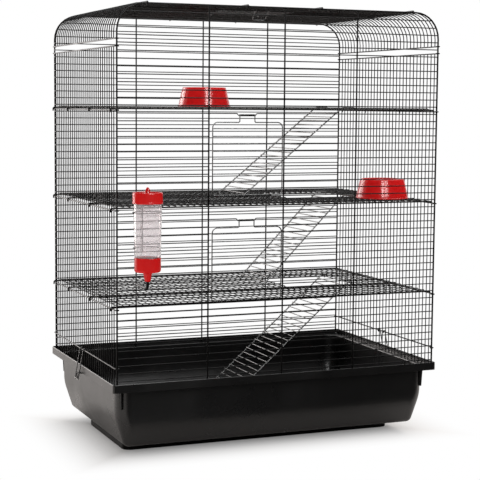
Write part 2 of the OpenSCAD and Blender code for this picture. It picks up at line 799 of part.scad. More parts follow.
// The clip leans out from its eyes, so that its legs pass the rim and only its hooks reach under it
module rim_clip() {
    half = clip_w / 2;
    inner = half - 2 * clip_loop_r;
    hook = [clip_hook_x - outer_x, clip_hook_z - base_wire_z];
    hook_x = hook.x * cos(clip_tilt) + hook.y * sin(clip_tilt);
    hook_z = hook.y * cos(clip_tilt) - hook.x * sin(clip_tilt);
    loop_z = rim_bottom_z - clip_drop - base_wire_z;
    x = clip_ring_r;
    for (side = [0, 1]) mirror([0, side, 0]) translate([outer_x, 0, base_wire_z]) rotate([0, -clip_tilt, 0]) {
        bend_y([0, half, 0], clip_ring_r, 0, clip_eye_turn, clip_d);
        pipe([x, half, 0], [x, half, loop_z], clip_d);
        bend_x([x, half - clip_loop_r, loop_z], clip_loop_r, 180, 180, clip_d);
        bent_wire([[x, inner, loop_z], [x, inner, hook_z], [hook_x, inner, hook_z], [hook_x, 0, hook_z]],
            clip_d);
        for (p = [[x, half, 0], [x, half, loop_z], [x, inner, loop_z]]) translate(p)
            sphere(d = clip_d + joint_swell);
    }
}

module right_rim_clip() {
    color(zinc) rim_clip();
}

module left_rim_clip() {
    color(zinc) mirror([1, 0, 0]) rim_clip();
}

// Bowls: a hollow moulding with a wide foot
module bowl(x, y, shelf_z) {
    foot_r = bowl_foot_d / 2;
    rim_r = bowl_rim_d / 2;
    lean = (foot_r - rim_r) / bowl_h;
    well_r = rim_r - bowl_rim_w;
    well_foot_r = well_r - bowl_depth * lean;
    floor_z = bowl_h - bowl_depth;
    under_z = floor_z - bowl_wall;
    under_r = well_foot_r + bowl_wall;
    top_z = bowl_h - bowl_wall;
    edge = 1.5;
    color(red) translate([x, y, shelf_z + shelf_top + turn_gap]) rotate_extrude($fn = 96) polygon([
        [0, floor_z], [0, under_z], [under_r, under_z],
        [well_r + bowl_wall, top_z], [rim_r - bowl_wall, top_z], [foot_r - bowl_wall, 0],
        [foot_r, 0], [foot_r, edge], [rim_r + edge * lean, bowl_h - edge],
        [rim_r - edge, bowl_h], [well_r + edge, bowl_h], [well_r, bowl_h - edge],
        [well_foot_r, floor_z + edge], [well_foot_r - edge, floor_z]]);
}

module upper_bowl() {
    bowl(upper_bowl_x, upper_bowl_y, upper_shelf_z);
}

module middle_bowl() {
    bowl(middle_bowl_x, middle_bowl_y, middle_shelf_z);
}

// Bottle: heights are counted from the tube, which runs in level between two wires of the front
bottle_y = -half_d - bottle_out;
tube_z = (line_z(tube_line) + line_z(tube_line + 1)) / 2;
shoulder_z = tube_z + bottle_shoulder;
bottle_top_z = shoulder_z + bottle_l;
neck_z = shoulder_z - neck_l;
cap_top_z = shoulder_z - 2;
cap_bottom_z = cap_top_z - cap_h;
seal_t = 2.5;
cap_floor_z = neck_z - seal_t;
fit_gap = 0.2;
lid_seat = 0.6;
shoulder_h = 3.5;
lid_top_z = bottle_top_z + lid_seat + 6;
function bottle_r(z) = (bottle_lower_d + (bottle_d - bottle_lower_d)
    * (z - shoulder_z) / (bottle_l - lid_h)) / 2;

module bottle_part() {
    translate([bottle_x, bottle_y, 0]) children();
}

module bottle_body() {
    w = bottle_wall;
    grow_z = bottle_top_z - lid_h;
    color(clear) bottle_part() rotate_extrude($fn = 96) polygon([
        [neck_d / 2 - w, neck_z], [neck_d / 2, neck_z], [neck_d / 2, shoulder_z - shoulder_h],
        [bottle_lower_d / 2, shoulder_z], [bottle_d / 2, grow_z], [bottle_d / 2, bottle_top_z],
        [bottle_d / 2 - w, bottle_top_z], [bottle_d / 2 - w, grow_z], [bottle_lower_d / 2 - w, shoulder_z],
        [neck_d / 2 - w, shoulder_z - shoulder_h]]);
}

module bottle_lid() {
    skirt_r = bottle_d / 2 + fit_gap;
    plug_r = bottle_d / 2 - bottle_wall - fit_gap;
    dish_r = plug_r - cap_wall;
    slot_z = bottle_top_z + lid_seat;
    dish_z = lid_top_z - lid_dish;
    skirt_z = lid_top_z - lid_h;
    edge = 2;
    tip_r = 2.5;
    color(red) bottle_part() rotate_extrude($fn = 96) polygon([
        [0, dish_z - cap_wall], [plug_r, dish_z - cap_wall], [plug_r, slot_z], [skirt_r, slot_z],
        [skirt_r, skirt_z], [lid_d / 2, skirt_z], [lid_d / 2, lid_top_z - edge],
        [lid_d / 2 - edge, lid_top_z], [dish_r + edge, lid_top_z], [dish_r, lid_top_z - edge],
        [dish_r - edge, dish_z], [knob_d / 2, dish_z], [tip_r, dish_z + knob_h - tip_r],
        [tip_r / 2, dish_z + knob_h - tip_r / 4], [0, dish_z + knob_h]]);
}

module bottle_screw_cap() {
    bore_r = neck_d / 2 + fit_gap;
    hole_r = tube_d / 2 + fit_gap / 4;
    edge = 4;
    lip = cap_top_z - (shoulder_z - shoulder_h) + fit_gap;
    spout_z = cap_bottom_z - spout_l;
    color(red) bottle_part() rotate_extrude($fn = 96) polygon([
        [hole_r, cap_floor_z], [bore_r, cap_floor_z], [bore_r, cap_top_z - lip],
        [bore_r + lip, cap_top_z], [cap_d / 2, cap_top_z], [cap_d / 2, cap_bottom_z + edge],
        [cap_d / 2 - edge / 3, cap_bottom_z + edge / 3], [cap_d / 2 - edge, cap_bottom_z],
        [spout_root_d / 2, cap_bottom_z], [spout_tip_d / 2, spout_z], [hole_r, spout_z]]);
}

module bottle_seal() {
    inner_r = neck_d / 2 - 2 * bottle_wall;
    color(rubber) bottle_part() translate([0, 0, cap_floor_z]) difference() {
        cylinder(h = seal_t, r = neck_d / 2);
        translate([0, 0, -cut]) cylinder(h = seal_t + 2 * cut, r = inner_r);
    }
}

tube_mouth_y = bottle_out + half_d - line_y + tube_reach;
tube_bore_r = tube_d / 2 - tube_wall;
mouth_r = tube_bore_r - 0.6;
mouth_t = 1;
ball_r = tube_bore_r - 0.3;
ball_seat = sqrt(ball_r * ball_r - mouth_r * mouth_r);
ball_gap = 0.1;

module tube_shape(r) {
    elbow_z = tube_z + tube_bend_r;
    translate([0, 0, elbow_z]) cylinder(h = cap_floor_z - elbow_z, r = r);
    bend_x([0, tube_bend_r, elbow_z], tube_bend_r, 180, 90, 2 * r);
    translate([0, tube_bend_r, tube_z]) rotate([-90, 0, 0])
        cylinder(h = tube_mouth_y - mouth_t - tube_bend_r, r = r);
}

module bottle_tube() {
    color(steel) bottle_part() difference() {
        union() {
            tube_shape(tube_d / 2);
            translate([0, tube_mouth_y - mouth_t, tube_z]) rotate([-90, 0, 0])
                cylinder(h = mouth_t, r = tube_d / 2);
        }
        tube_shape(tube_bore_r);
        translate([0, 0, cap_floor_z - cut]) cylinder(h = 2 * cut, r = tube_bore_r);
        translate([0, tube_mouth_y - 2 * mouth_t, tube_z]) rotate([-90, 0, 0])
            cylinder(h = 3 * mouth_t, r = mouth_r);
    }
}

module bottle_ball() {
    color(steel) bottle_part()
        translate([0, tube_mouth_y - mouth_t - ball_seat - ball_gap, tube_z]) sphere(r = ball_r);
}

// Bottle holder: a back wire that hangs on a level wire, with two arms round the back half of the bottle
arm_top_drop = 11;
arm_link_d = 1.8;
arm_pitch = 76;

module holder_arm(z, back_y) {
    r = bottle_r(z + holder_d / 2) + turn_gap + holder_d / 2;
    bend_z([bottle_x, bottle_y, z], r, 0, 180, holder_d);
    pipe([bottle_x, bottle_y + r + holder_d / 4, z], [bottle_x, back_y - holder_d / 4, z], arm_link_d);
}

module bottle_holder() {
    hang_z = line_z(holder_line);
    hang_r = (line_d + holder_d) / 2 + turn_gap;
    back_y = -brace_y - brace_d / 2 - holder_d * 2;
    foot_z = hang_z - holder_l;
    foot_y = -line_y - line_d / 2 - turn_gap;
    color(zinc) {
        bent_wire([[bottle_x, foot_y, foot_z], [bottle_x, back_y, foot_z],
            [bottle_x, back_y, hang_z + hang_r], [bottle_x, -line_y, hang_z + hang_r]], holder_d);
        bend_x([bottle_x, -line_y, hang_z], hang_r, 90 - hook_turn, hook_turn, holder_d);
        translate([bottle_x, -line_y, hang_z + hang_r]) sphere(d = holder_d + joint_swell);
        holder_arm(hang_z - arm_top_drop, back_y);
        holder_arm(hang_z - arm_top_drop - arm_pitch, back_y);
    }
}

tray();
front_panel();
back_panel();
left_side_panel();
right_side_panel();
roof_panel();
upper_shelf();
middle_shelf();
lower_shelf();
upper_ladder();
middle_ladder();
lower_ladder();
upper_door();
lower_door();
roof_door();
roof_door_latch();
left_rim_clip();
right_rim_clip();
upper_bowl();
middle_bowl();
bottle_body();
bottle_lid();
bottle_screw_cap();
bottle_seal();
bottle_tube();
bottle_ball();
bottle_holder();
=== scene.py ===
import math

import bmesh
import bpy
from mathutils import Matrix, Vector


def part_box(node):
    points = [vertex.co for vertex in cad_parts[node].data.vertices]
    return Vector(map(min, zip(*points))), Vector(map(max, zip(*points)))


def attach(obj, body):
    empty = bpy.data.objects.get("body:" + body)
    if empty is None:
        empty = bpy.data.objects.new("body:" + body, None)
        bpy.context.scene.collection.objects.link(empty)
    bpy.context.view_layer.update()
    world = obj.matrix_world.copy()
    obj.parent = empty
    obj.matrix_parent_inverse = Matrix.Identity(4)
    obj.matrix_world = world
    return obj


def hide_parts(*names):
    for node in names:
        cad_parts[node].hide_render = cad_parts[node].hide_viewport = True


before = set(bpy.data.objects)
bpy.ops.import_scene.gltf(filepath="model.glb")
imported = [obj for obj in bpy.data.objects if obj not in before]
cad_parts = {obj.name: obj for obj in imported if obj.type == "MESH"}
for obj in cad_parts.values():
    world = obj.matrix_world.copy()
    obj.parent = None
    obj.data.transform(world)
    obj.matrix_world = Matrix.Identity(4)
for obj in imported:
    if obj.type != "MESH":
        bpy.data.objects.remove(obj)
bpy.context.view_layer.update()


# Tray: one deep moulding of black polypropylene. A flat band runs round its rim, a ledge inside the band
# carries the wire top, four blades stiffen the corners and a sunken foot stands on the floor.
MM = 0.001
RIM, BASIN, FOOT = (400.0, 261.5, 6.0), (382.0, 243.5, 35.0), (338.5, 142.7, 20.0)
RIM_TOP, RIM_BOTTOM, BAND, LEDGE, LEDGE_UNDER = 177.0, 159.0, 2.0, 165.0, 162.5
WALL, WALL_TOP, FOOT_H, FOOT_CAP, LEAST_CORNER = 2.5, 140.0, 27.0, 12.0, 1.5
CURVE_Z, CURVE_R, CURVE_STEPS, LEAN = 112.0, 105.0, 6, math.radians(17.7)
FILLET_Z, FILLET_R, FILLET_IN, FILLET_STEPS = 42.0, 15.0, 32.87, 8
CORNER_STEPS, HOLD, EDGE_HOLD, EDGE_SHARE = 12, 4.0, 1.18, 0.42
BLADE_ROOT, BLADE_OUT, BLADE_T, BLADE_FOOT, BLADE_TOP = 1.5, 9.8, 4.0, 117.0, 163.4
BLADE_DRAWS_IN, BLADE_THINS, BLADE_EDGE = 0.72, 0.85, 0.7
CORNERS = ((1, 1), (1, -1), (-1, 1), (-1, -1))


def filled(tree, node, inputs):
    """Gives a node's inputs plain values, or links them to other nodes' outputs."""
    for socket, value in inputs.items():
        if isinstance(value, bpy.types.NodeSocket):
            tree.links.new(value, node.inputs[socket])
        else:
            node.inputs[socket].default_value = value


def added(tree, kind, inputs, **settings):
    """The outputs of a new node with these inputs and settings."""
    node = tree.nodes.new(kind)
    for setting, value in settings.items():
        setattr(node, setting, value)
    filled(tree, node, inputs)
    return node.outputs


def effect_group(name, inputs, outputs):
    """A shader node group for one effect: the group, what it is given, and the node it ends in."""
    group = bpy.data.node_groups.new(name, "ShaderNodeTree")
    group.interface.new_socket("Vector", in_out="INPUT", socket_type="NodeSocketVector")
    for socket, value in inputs:
        made = group.interface.new_socket(socket, in_out="INPUT", socket_type="NodeSocketFloat")
        made.default_value = value
    for socket in outputs:
        group.interface.new_socket(socket, in_out="OUTPUT", socket_type="NodeSocketFloat")
    return group, group.nodes.new("NodeGroupInput").outputs, group.nodes.new("NodeGroupOutput")


def noise(group, vector, scale, detail, roughness=0.5, distortion=0.0):
    """Noise of a scale that is itself a socket."""
    return added(group, "ShaderNodeTexNoise", {"Vector": vector, "Scale": scale, "Detail": detail,
                                               "Roughness": roughness, "Distortion": distortion})["Fac"]


def moulded_skin():
    """The skin of a moulding: fine grain from the steel of the tool, and soft flow marks of the melt."""
    group, given, put = effect_group("moulded_skin", (("Grain Scale", 900.0), ("Flow Scale", 9.0)),
                                     ("Grain", "Flow"))
    grain = noise(group, given["Vector"], given["Grain Scale"], 3.0, 0.6)
    flow = noise(group, given["Vector"], given["Flow Scale"], 4.0, 0.55, 0.8)
    wide = added(group, "ShaderNodeMapRange", {"Value": flow, "From Min": 0.3, "From Max": 0.7})
    filled(group, put, {"Grain": grain, "Flow": wide["Result"]})
    return group


def rubbed_marks():
    """Fine rubbed marks and dust that use leaves behind: the peaks of a noise stretched to streaks."""
    group, given, put = effect_group("rubbed_marks", (("Mark Scale", 60.0), ("Share", 0.35)), ("Marks",))
    stretch = added(group, "ShaderNodeMapping", {"Vector": given["Vector"], "Scale": (0.35, 0.35, 3.0),
                                                 "Rotation": (0.3, 0.5, 0.2)})
    streak = noise(group, stretch["Vector"], given["Mark Scale"], 5.0, 0.7, 1.2)
    cut = added(group, "ShaderNodeMath", {0: 1.0, 1: given["Share"]}, operation="SUBTRACT")
    edge = added(group, "ShaderNodeMapRange", {"Value": streak, "From Min": cut[0], "From Max": 0.9},
                 interpolation_type="SMOOTHSTEP")
    filled(group, put, {"Marks": edge["Result"]})
    return group


SKIN, MARKS = moulded_skin(), rubbed_marks()


def start_material(name, sockets):
    """A material with its Principled shader's plain sockets set, and its Object coordinates."""
    made = bpy.data.materials.new(name)
    made.use_nodes = True
    filled(made.node_tree, made.node_tree.nodes["Principled BSDF"], sockets)
    return made, added(made.node_tree, "ShaderNodeTexCoord", {})["Object"]


def placed_group(material, group, vector, values):
    """One effect, placed in a material with its own values."""
    return added(material.node_tree, "ShaderNodeGroup", {"Vector": vector, **values}, node_tree=group)


def blended(material, mask, low, high):
    """A colour that goes from low to high with a mask. Each is a plain colour or another node's output."""
    inputs = {0: mask}
    for spot, colour in ((6, low), (7, high)):
        inputs[spot] = (*colour, 1.0) if isinstance(colour, tuple) else colour
    return added(material.node_tree, "ShaderNodeMix", inputs, data_type="RGBA")[2]


def ranged(material, value, low, high):
    """A number that goes from low to high as value goes from 0 to 1."""
    return added(material.node_tree, "ShaderNodeMapRange",
                 {"Value": value, "To Min": low, "To Max": high})["Result"]


def bumped(material, height, distance, strength):
    """A bump of that height in metres, for a Normal socket."""
    return added(material.node_tree, "ShaderNodeBump", {"Height": height, "Distance": distance,
                                                        "Strength": strength})["Normal"]


def surfaced(material, colour, roughness, normal):
    """The material with what changes over its surface fed to its shader."""
    filled(material.node_tree, material.node_tree.nodes["Principled BSDF"],
           {"Base Color": colour, "Roughness": roughness, "Normal": normal})
    return material


def moulded_material(name, deep, pale, rough, grain_scale, spec=0.5):
    """Moulded plastic: two near tones, a roughness that drifts, rubbed marks and a fine grain."""
    made, vector = start_material(name, {"Specular IOR Level": spec})
    skin = placed_group(made, SKIN, vector, {"Grain Scale": grain_scale, "Flow Scale": 7.0})
    marks = placed_group(made, MARKS, vector, {"Mark Scale": 38.0, "Share": 0.42})
    worn = added(made.node_tree, "ShaderNodeMath", {0: skin["Flow"], 1: marks["Marks"]}, operation="MAXIMUM")
    return surfaced(made, blended(made, skin["Flow"], deep, pale), ranged(made, worn[0], *rough),
                    bumped(made, skin["Grain"], 0.00012, 0.35))


def softened(points, steps=3):
    """Points (each with its rounding last) with their corners rounded, and a point that holds each flat."""
    run = []
    for i, point in enumerate(points):
        here, r = Vector(point[:-1]), point[-1]
        if r == 0 or i in (0, len(points) - 1):
            run.append(here)
            continue
        before, after = Vector(points[i - 1][:-1]) - here, Vector(points[i + 1][:-1]) - here
        reach = min(r, before.length * EDGE_SHARE, after.length * EDGE_SHARE)
        before, after = before * (reach / before.length), after * (reach / after.length)
        run.append(here + before * EDGE_HOLD)
        for k in range(steps + 1):
            u = k / steps
            run.append(here + before * (1 - u) ** 2 + after * u ** 2)
        run.append(here + after * EDGE_HOLD)
    return run


def rounded_ring(half_x, half_y, corner, z):
    """One level ring of points round a rectangle with round corners, and points that hold its flats."""
    ring = []
    for sx, sy, first in ((1, 1, 0), (-1, 1, 90), (-1, -1, 180), (1, -1, 270)):
        cx, cy = sx * (half_x - corner), sy * (half_y - corner)
        for k in range(-1, CORNER_STEPS + 2):
            a = math.radians(first + 90 * min(max(k, 0), CORNER_STEPS) / CORNER_STEPS)
            hold = HOLD * ((k < 0) - (k > CORNER_STEPS))
            ring.append((cx + corner * math.cos(a) + hold * math.sin(a),
                         cy + corner * math.sin(a) - hold * math.cos(a), z))
    return ring


def inset_ring(outline, inset, z, rounding=0):
    """The sizes of a ring that lies inside one of the tray's outlines, and the rounding of its edge."""
    half_x, half_y, corner = outline
    return half_x - inset, half_y - inset, max(corner - inset, LEAST_CORNER), z, rounding


def basin_wall(wall):
    """Rings of the basin's side from its top down to its bottom, for the outer face (0) or the inner one."""
    side = []
    for k in range(CURVE_STEPS + 1):
        a, r = LEAN * k / CURVE_STEPS, CURVE_R - wall
        side.append(inset_ring(BASIN, CURVE_R - r * math.cos(a), CURVE_Z - r * math.sin(a)))
    for k in range(FILLET_STEPS + 1):
        a, r = LEAN + (math.pi / 2 - LEAN) * k / FILLET_STEPS, FILLET_R - wall
        side.append(inset_ring(BASIN, FILLET_IN - r * math.cos(a), FILLET_Z - r * math.sin(a)))
    return side


def metres(points):
    """The points as vectors in metres."""
    return [Vector(p) * MM for p in points]


def skinned(rings):
    """A closed mesh through rings of as many points each, capped at both ends."""
    shape, rows = bmesh.new(), []
    for ring in rings:
        rows.append([shape.verts.new(p) for p in metres(ring)])
    for low, high in zip(rows, rows[1:]):
        for k in range(len(low)):
            n = (k + 1) % len(low)
            shape.faces.new((low[k], low[n], high[n], high[k]))
    shape.faces.new(rows[0])
    shape.faces.new(reversed(rows[-1]))
    bmesh.ops.recalc_face_normals(shape, faces=shape.faces)
    return shape


def sharpened(shape, angle=35.0):
    """Smooth shading that breaks at edges sharper than the angle."""
    for face in shape.faces:
        face.smooth = True
    for edge in shape.edges:
        edge.smooth = not (len(edge.link_faces) == 2 and edge.calc_face_angle() > math.radians(angle))


def finished_piece(name, shape, materials, body, nodes):
    """Turns a bmesh into a piece at the origin that rides on a body and stands for its CAD nodes."""
    mesh = bpy.data.meshes.new(name)
    shape.to_mesh(mesh)
    shape.free()
    for material in materials:
        mesh.materials.append(material)
    piece = bpy.data.objects.new(name, mesh)
    bpy.context.scene.collection.objects.link(piece)
    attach(piece, body)
    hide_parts(*nodes)


def corner_blade(shape, sx, sy):
    """A blade under the rim at a corner of the basin, thinner and shorter at its foot, with round edges."""
    blade = bmesh.ops.create_cube(shape, size=1.0)["verts"]
    out = Vector((sx, sy, 0)).normalized()
    across = Vector((-out.y, out.x, 0))
    centre = Vector((sx * (BASIN[0] - BASIN[2]), sy * (BASIN[1] - BASIN[2]), 0))
    for vert in blade:
        x, y, z = vert.co
        low = z < 0
        reach = BASIN[2] - BLADE_ROOT + (BLADE_OUT if x > 0 else 0) * (BLADE_DRAWS_IN if low else 1.0)
        spot = centre + out * reach + across * y * BLADE_T * (BLADE_THINS if low else 1.0)
        vert.co = Vector((spot.x, spot.y, BLADE_FOOT if low else BLADE_TOP)) * MM
    edges = {edge for vert in blade for edge in vert.link_edges}
    bmesh.ops.bevel(shape, geom=list(edges), offset=BLADE_EDGE * MM, segments=3, affect="EDGES", profile=0.5)


outline = [inset_ring(FOOT, FOOT_CAP, 0.0), inset_ring(FOOT, 0, 0.0, 2.2), inset_ring(FOOT, 0, FOOT_H, 1.5)]
outline += basin_wall(0.0)[::-1]
outline += [inset_ring(BASIN, 0, WALL_TOP), inset_ring(BASIN, 0, LEDGE_UNDER, 1.2),
            inset_ring(RIM, BAND, LEDGE_UNDER, 0.8), inset_ring(RIM, BAND, RIM_BOTTOM, 0.5),
            inset_ring(RIM, 0, RIM_BOTTOM, 0.8), inset_ring(RIM, 0, RIM_TOP, 1.0),
            inset_ring(RIM, BAND, RIM_TOP, 0.8), inset_ring(RIM, BAND, LEDGE, 0.8),
            inset_ring(BASIN, WALL, LEDGE, 1.6), inset_ring(BASIN, WALL, WALL_TOP)]
outline += basin_wall(WALL)
outline += [inset_ring(FOOT, WALL, FOOT_H + WALL, 2.0), inset_ring(FOOT, WALL, WALL, 2.5),
            inset_ring(FOOT, FOOT_CAP + 2, WALL)]
tray = skinned([rounded_ring(*ring) for ring in softened(outline)])
for sx, sy in CORNERS:
    corner_blade(tray, sx, sy)
sharpened(tray)
black_moulding = moulded_material("black_moulding", (0.0030, 0.0027, 0.0027), (0.0055, 0.0050, 0.0049),
                                  (0.25, 0.36), 1100.0, spec=0.62)
# The foot's faces take a darker, less shiny copy of the black moulding. It is partly a matt finish and partly
# painted shade for the foot in the shadow under the basin.
matt_painted_shade_moulding = moulded_material("matt_painted_shade_moulding", (0.0022, 0.0020, 0.0020), (0.0040, 0.0037, 0.0036),
                                 (0.55, 0.70), 700.0, spec=0.12)
# Faces low on the foot that don't face up get the darker copy, which is painted shade.
for face in tray.faces:
    below = face.calc_center_median().z < FOOT_H * MM
    face.material_index = 1 if below and face.normal.z < 0.5 else 0
finished_piece("tray_moulding", tray, [black_moulding, matt_painted_shade_moulding], "tray", ["tray"])


# Front panel: a frame of 4 mm wire with round upper corners, three upright braces and fifty level wires,
# spot-welded where they cross and dipped in black. Two doorways are cut out between the left braces.
HALF_W, HALF_D, ARCH_Z, ARCH_X, CORNER_R, TOP_Z = 390.0, 257.0, 938.0, 330.0, 60.0, 998.0
LINE_Z, LINE_PITCH, LINE_Y, BRACE_Y, WELD_Y = 166.2, 16.62, 254.57, 256.54, 255.6
FRAME_D, BRACE_D, LINE_D, BEAD_D, CORNER_BEAD_D = 4.0, 3.6, 2.35, 3.0, 3.2
BRACES, BRACE_LAP = (-180.0, 0.0, 180.0), 1.0
DOOR_LINES, DOOR_GAPS, WHOLE_LINES, ALL_LINES = (11, 25), 11, 47, 50
LOOP_LEFT, LOOP_RIGHT, DIP, DIP_BACK = -108.55, -69.45, 5.0, 0.65
DIP_BEND = ((6.0, 0.0), (3.4, 0.6), (0.6, DIP - 0.6), (-2.0, DIP))
LINE_STEP, LINE_STRAY = (0, 0, LINE_PITCH), 0.25
SPACING, WAVER, WAVER_SCALE = 55.0, 0.7, 5.0


def repeater(name, inputs):
    """A tree that repeats a shape in steps: the tree, what it is given, and its geometry so far."""
    tree = bpy.data.node_groups.new(name, "GeometryNodeTree")
    tree.interface.new_socket("Geometry", in_out="INPUT", socket_type="NodeSocketGeometry")
    for socket, kind, value in (("Copies", "Int", 1), ("Step", "Vector", (0.0, 0.0, 0.0)),
                                ("Uneven", "Float", 0.0), ("Seed", "Int", 0), *inputs,
                                ("Finish", "Material", None)):
        made = tree.interface.new_socket(socket, in_out="INPUT", socket_type="NodeSocket" + kind)
        if value is not None:
            made.default_value = value
    tree.interface.new_socket("Geometry", in_out="OUTPUT", socket_type="NodeSocketGeometry")
    given = tree.nodes.new("NodeGroupInput").outputs
    line = added(tree, "GeometryNodeMeshLine", {"Count": given["Copies"], "Offset": given["Step"]},
                 mode="OFFSET", count_mode="TOTAL")
    back = added(tree, "ShaderNodeMath", {0: given["Uneven"], 1: -1.0}, operation="MULTIPLY")
    chance = added(tree, "FunctionNodeRandomValue", {2: back[0], 3: given["Uneven"], "Seed": given["Seed"]},
                   data_type="FLOAT")
    along = added(tree, "ShaderNodeVectorMath", {0: given["Step"]}, operation="NORMALIZE")
    stray = added(tree, "ShaderNodeVectorMath", {0: along["Vector"], "Scale": chance[1]}, operation="SCALE")
    spaced = added(tree, "GeometryNodeSetPosition", {"Geometry": line["Mesh"], "Offset": stray["Vector"]})
    copies = added(tree, "GeometryNodeInstanceOnPoints", {"Points": spaced["Geometry"],
                                                          "Instance": given["Geometry"]})
    loose = added(tree, "GeometryNodeRealizeInstances", {"Geometry": copies["Instances"]})
    return tree, given, loose["Geometry"]


def close_tree(tree, given, geometry):
    """The end of such a tree: smooth faces, no instances left, and the finish."""
    smooth = added(tree, "GeometryNodeSetShadeSmooth", {"Geometry": geometry})
    real = added(tree, "GeometryNodeRealizeInstances", {"Geometry": smooth["Geometry"]})
    finish = added(tree, "GeometryNodeSetMaterial",
                   {"Geometry": real["Geometry"], "Material": given["Finish"]})
    added(tree, "NodeGroupOutput", {"Geometry": finish["Geometry"]})
    return tree


def wire_former():
    """Repeats centre lines, lets them waver a little as drawn wire does, and gives them a round section."""
    tree, given, geometry = repeater("wire_former", (("Wire Diameter", "Float", 0.002), ("Sides", "Int", 8),
                                                     ("Waver", "Float", 0.0), ("Waver Scale", "Float", 5.0)))
    curve = added(tree, "GeometryNodeMeshToCurve", {"Mesh": geometry})
    place = added(tree, "GeometryNodeInputPosition", {})
    drift = added(tree, "ShaderNodeTexNoise", {"Vector": place["Position"], "Scale": given["Waver Scale"],
                                               "Detail": 1.0})
    centred = added(tree, "ShaderNodeVectorMath", {0: drift["Color"], 1: (0.5, 0.5, 0.5)},
                    operation="SUBTRACT")
    sized = added(tree, "ShaderNodeVectorMath", {0: centred["Vector"], "Scale": given["Waver"]},
                  operation="SCALE")
    moved = added(tree, "GeometryNodeSetPosition", {"Geometry": curve["Curve"], "Offset": sized["Vector"]})
    half = added(tree, "ShaderNodeMath", {0: given["Wire Diameter"], 1: 0.5}, operation="MULTIPLY")
    section = added(tree, "GeometryNodeCurvePrimitiveCircle",
                    {"Resolution": given["Sides"], "Radius": half[0]})
    sweep = added(tree, "GeometryNodeCurveToMesh",
                  {"Curve": moved["Geometry"], "Profile Curve": section["Curve"], "Fill Caps": True})
    return close_tree(tree, given, sweep["Mesh"])


def weld_former():
    """Repeats points in rows and sets a small weld bead on each."""
    tree, given, geometry = repeater("weld_former", (("Bead Diameter", "Float", 0.003), ("Rows", "Int", 1),
                                                     ("Row Step", "Vector", (0.0, 0.0, 0.0))))
    line = added(tree, "GeometryNodeMeshLine", {"Count": given["Rows"], "Offset": given["Row Step"]},
                 mode="OFFSET", count_mode="TOTAL")
    rows = added(tree, "GeometryNodeInstanceOnPoints", {"Points": line["Mesh"], "Instance": geometry})
    spots = added(tree, "GeometryNodeRealizeInstances", {"Geometry": rows["Instances"]})
    half = added(tree, "ShaderNodeMath", {0: given["Bead Diameter"], 1: 0.5}, operation="MULTIPLY")
    bead = added(tree, "GeometryNodeMeshUVSphere", {"Segments": 6, "Rings": 4, "Radius": half[0]})
    beads = added(tree, "GeometryNodeInstanceOnPoints",
                  {"Points": spots["Geometry"], "Instance": bead["Mesh"]})
    return close_tree(tree, given, beads["Instances"])


WIRE_FORMER, WELD_FORMER = wire_former(), weld_former()


def run_tree(tree, points, edges, values):
    """The plain mesh that a tree makes of these points and edges."""
    guide = bpy.data.meshes.new("guide")
    guide.from_pydata(metres(points), edges, [])
    holder = bpy.data.objects.new("guide", guide)
    bpy.context.scene.collection.objects.link(holder)
    modifier = holder.modifiers.new("former", "NODES")
    modifier.node_group = tree
    for item in tree.interface.items_tree:
        if item.in_out == "INPUT" and item.name in values:
            modifier[item.identifier] = values[item.name]
    graph = bpy.context.evaluated_depsgraph_get()
    made = bpy.data.meshes.new_from_object(holder.evaluated_get(graph))
    bpy.data.objects.remove(holder)
    bpy.data.meshes.remove(guide)
    return made


def spread(path):
    """The path with more points on its long straights, so that it can waver."""
    run = [Vector(path[0])]
    for a, b in zip(path, path[1:]):
        a, b = Vector(a), Vector(b)
        parts = max(1, round((b - a).length / SPACING))
        run += [a.lerp(b, k / parts) for k in range(1, parts + 1)]
    return run


def step_metres(step):
    """A step as plain numbers in metres, which a modifier's socket takes."""
    return tuple(float(s) * MM for s in step)


def wires(paths, diameter, finish, copies=1, step=(0, 0, 0), waver=WAVER, uneven=0.0, seed=1, sides=8,
          ring=False):
    """Wires along the given paths, repeated in steps. A ring path closes on itself."""
    points, edges = [], []
    for path in paths:
        run = spread(path) if waver else [Vector(p) for p in path]
        first = len(points)
        points += run
        edges += [(first + k, first + k + 1) for k in range(len(run) - 1)]
        if ring:
            edges.append((first + len(run) - 1, first))
    return run_tree(WIRE_FORMER, points, edges, {
        "Copies": copies, "Step": step_metres(step), "Uneven": uneven * MM, "Seed": seed,
        "Wire Diameter": diameter * MM, "Sides": sides, "Waver": waver * MM, "Waver Scale": WAVER_SCALE,
        "Finish": finish})


def formed(paths, diameter, finish, copies=1, step=(0, 0, 0), sides=12, **more):
    """Wires that were bent to shape on a former, and so don't waver."""
    return wires(paths, diameter, finish, copies, step, waver=0.0, sides=sides, **more)


def welds(points, diameter, finish, copies=1, step=(0, 0, 0), rows=1, row_step=(0, 0, 0)):
    """Weld beads on a grid that starts at each of the points."""
    return run_tree(WELD_FORMER, points, [], {
        "Copies": copies, "Step": step_metres(step), "Rows": rows, "Row Step": step_metres(row_step),
        "Bead Diameter": diameter * MM, "Finish": finish})


def wire_piece(name, meshes, body, node):
    """One piece from several meshes of wire, which keep their finishes."""
    shape, materials = bmesh.new(), []
    for mesh in meshes:
        finish = mesh.materials[0]
        if finish not in materials:
            materials.append(finish)
        start = len(shape.faces)
        shape.from_mesh(mesh)
        shape.faces.ensure_lookup_table()
        for k in range(start, len(shape.faces)):
            shape.faces[k].material_index = materials.index(finish)
        bpy.data.meshes.remove(mesh)
    finished_piece(name, shape, materials, body, [node])


def arc(cx, cy, r, start, turn, steps=8):
    """Points on an arc in a plane, by degrees."""
    turns = [math.radians(start + turn * k / steps) for k in range(steps + 1)]
    return [(cx + r * math.cos(a), cy + r * math.sin(a)) for a in turns]


def hoop(y, r, low):
    """A wire up one side, over the top with two round corners and down the other side."""
    flat = [(-ARCH_X - r, low), *arc(-ARCH_X, ARCH_Z, r, 180, -90), *arc(ARCH_X, ARCH_Z, r, 90, -90),
            (ARCH_X + r, low)]
    return [(x, y, z) for x, z in flat]


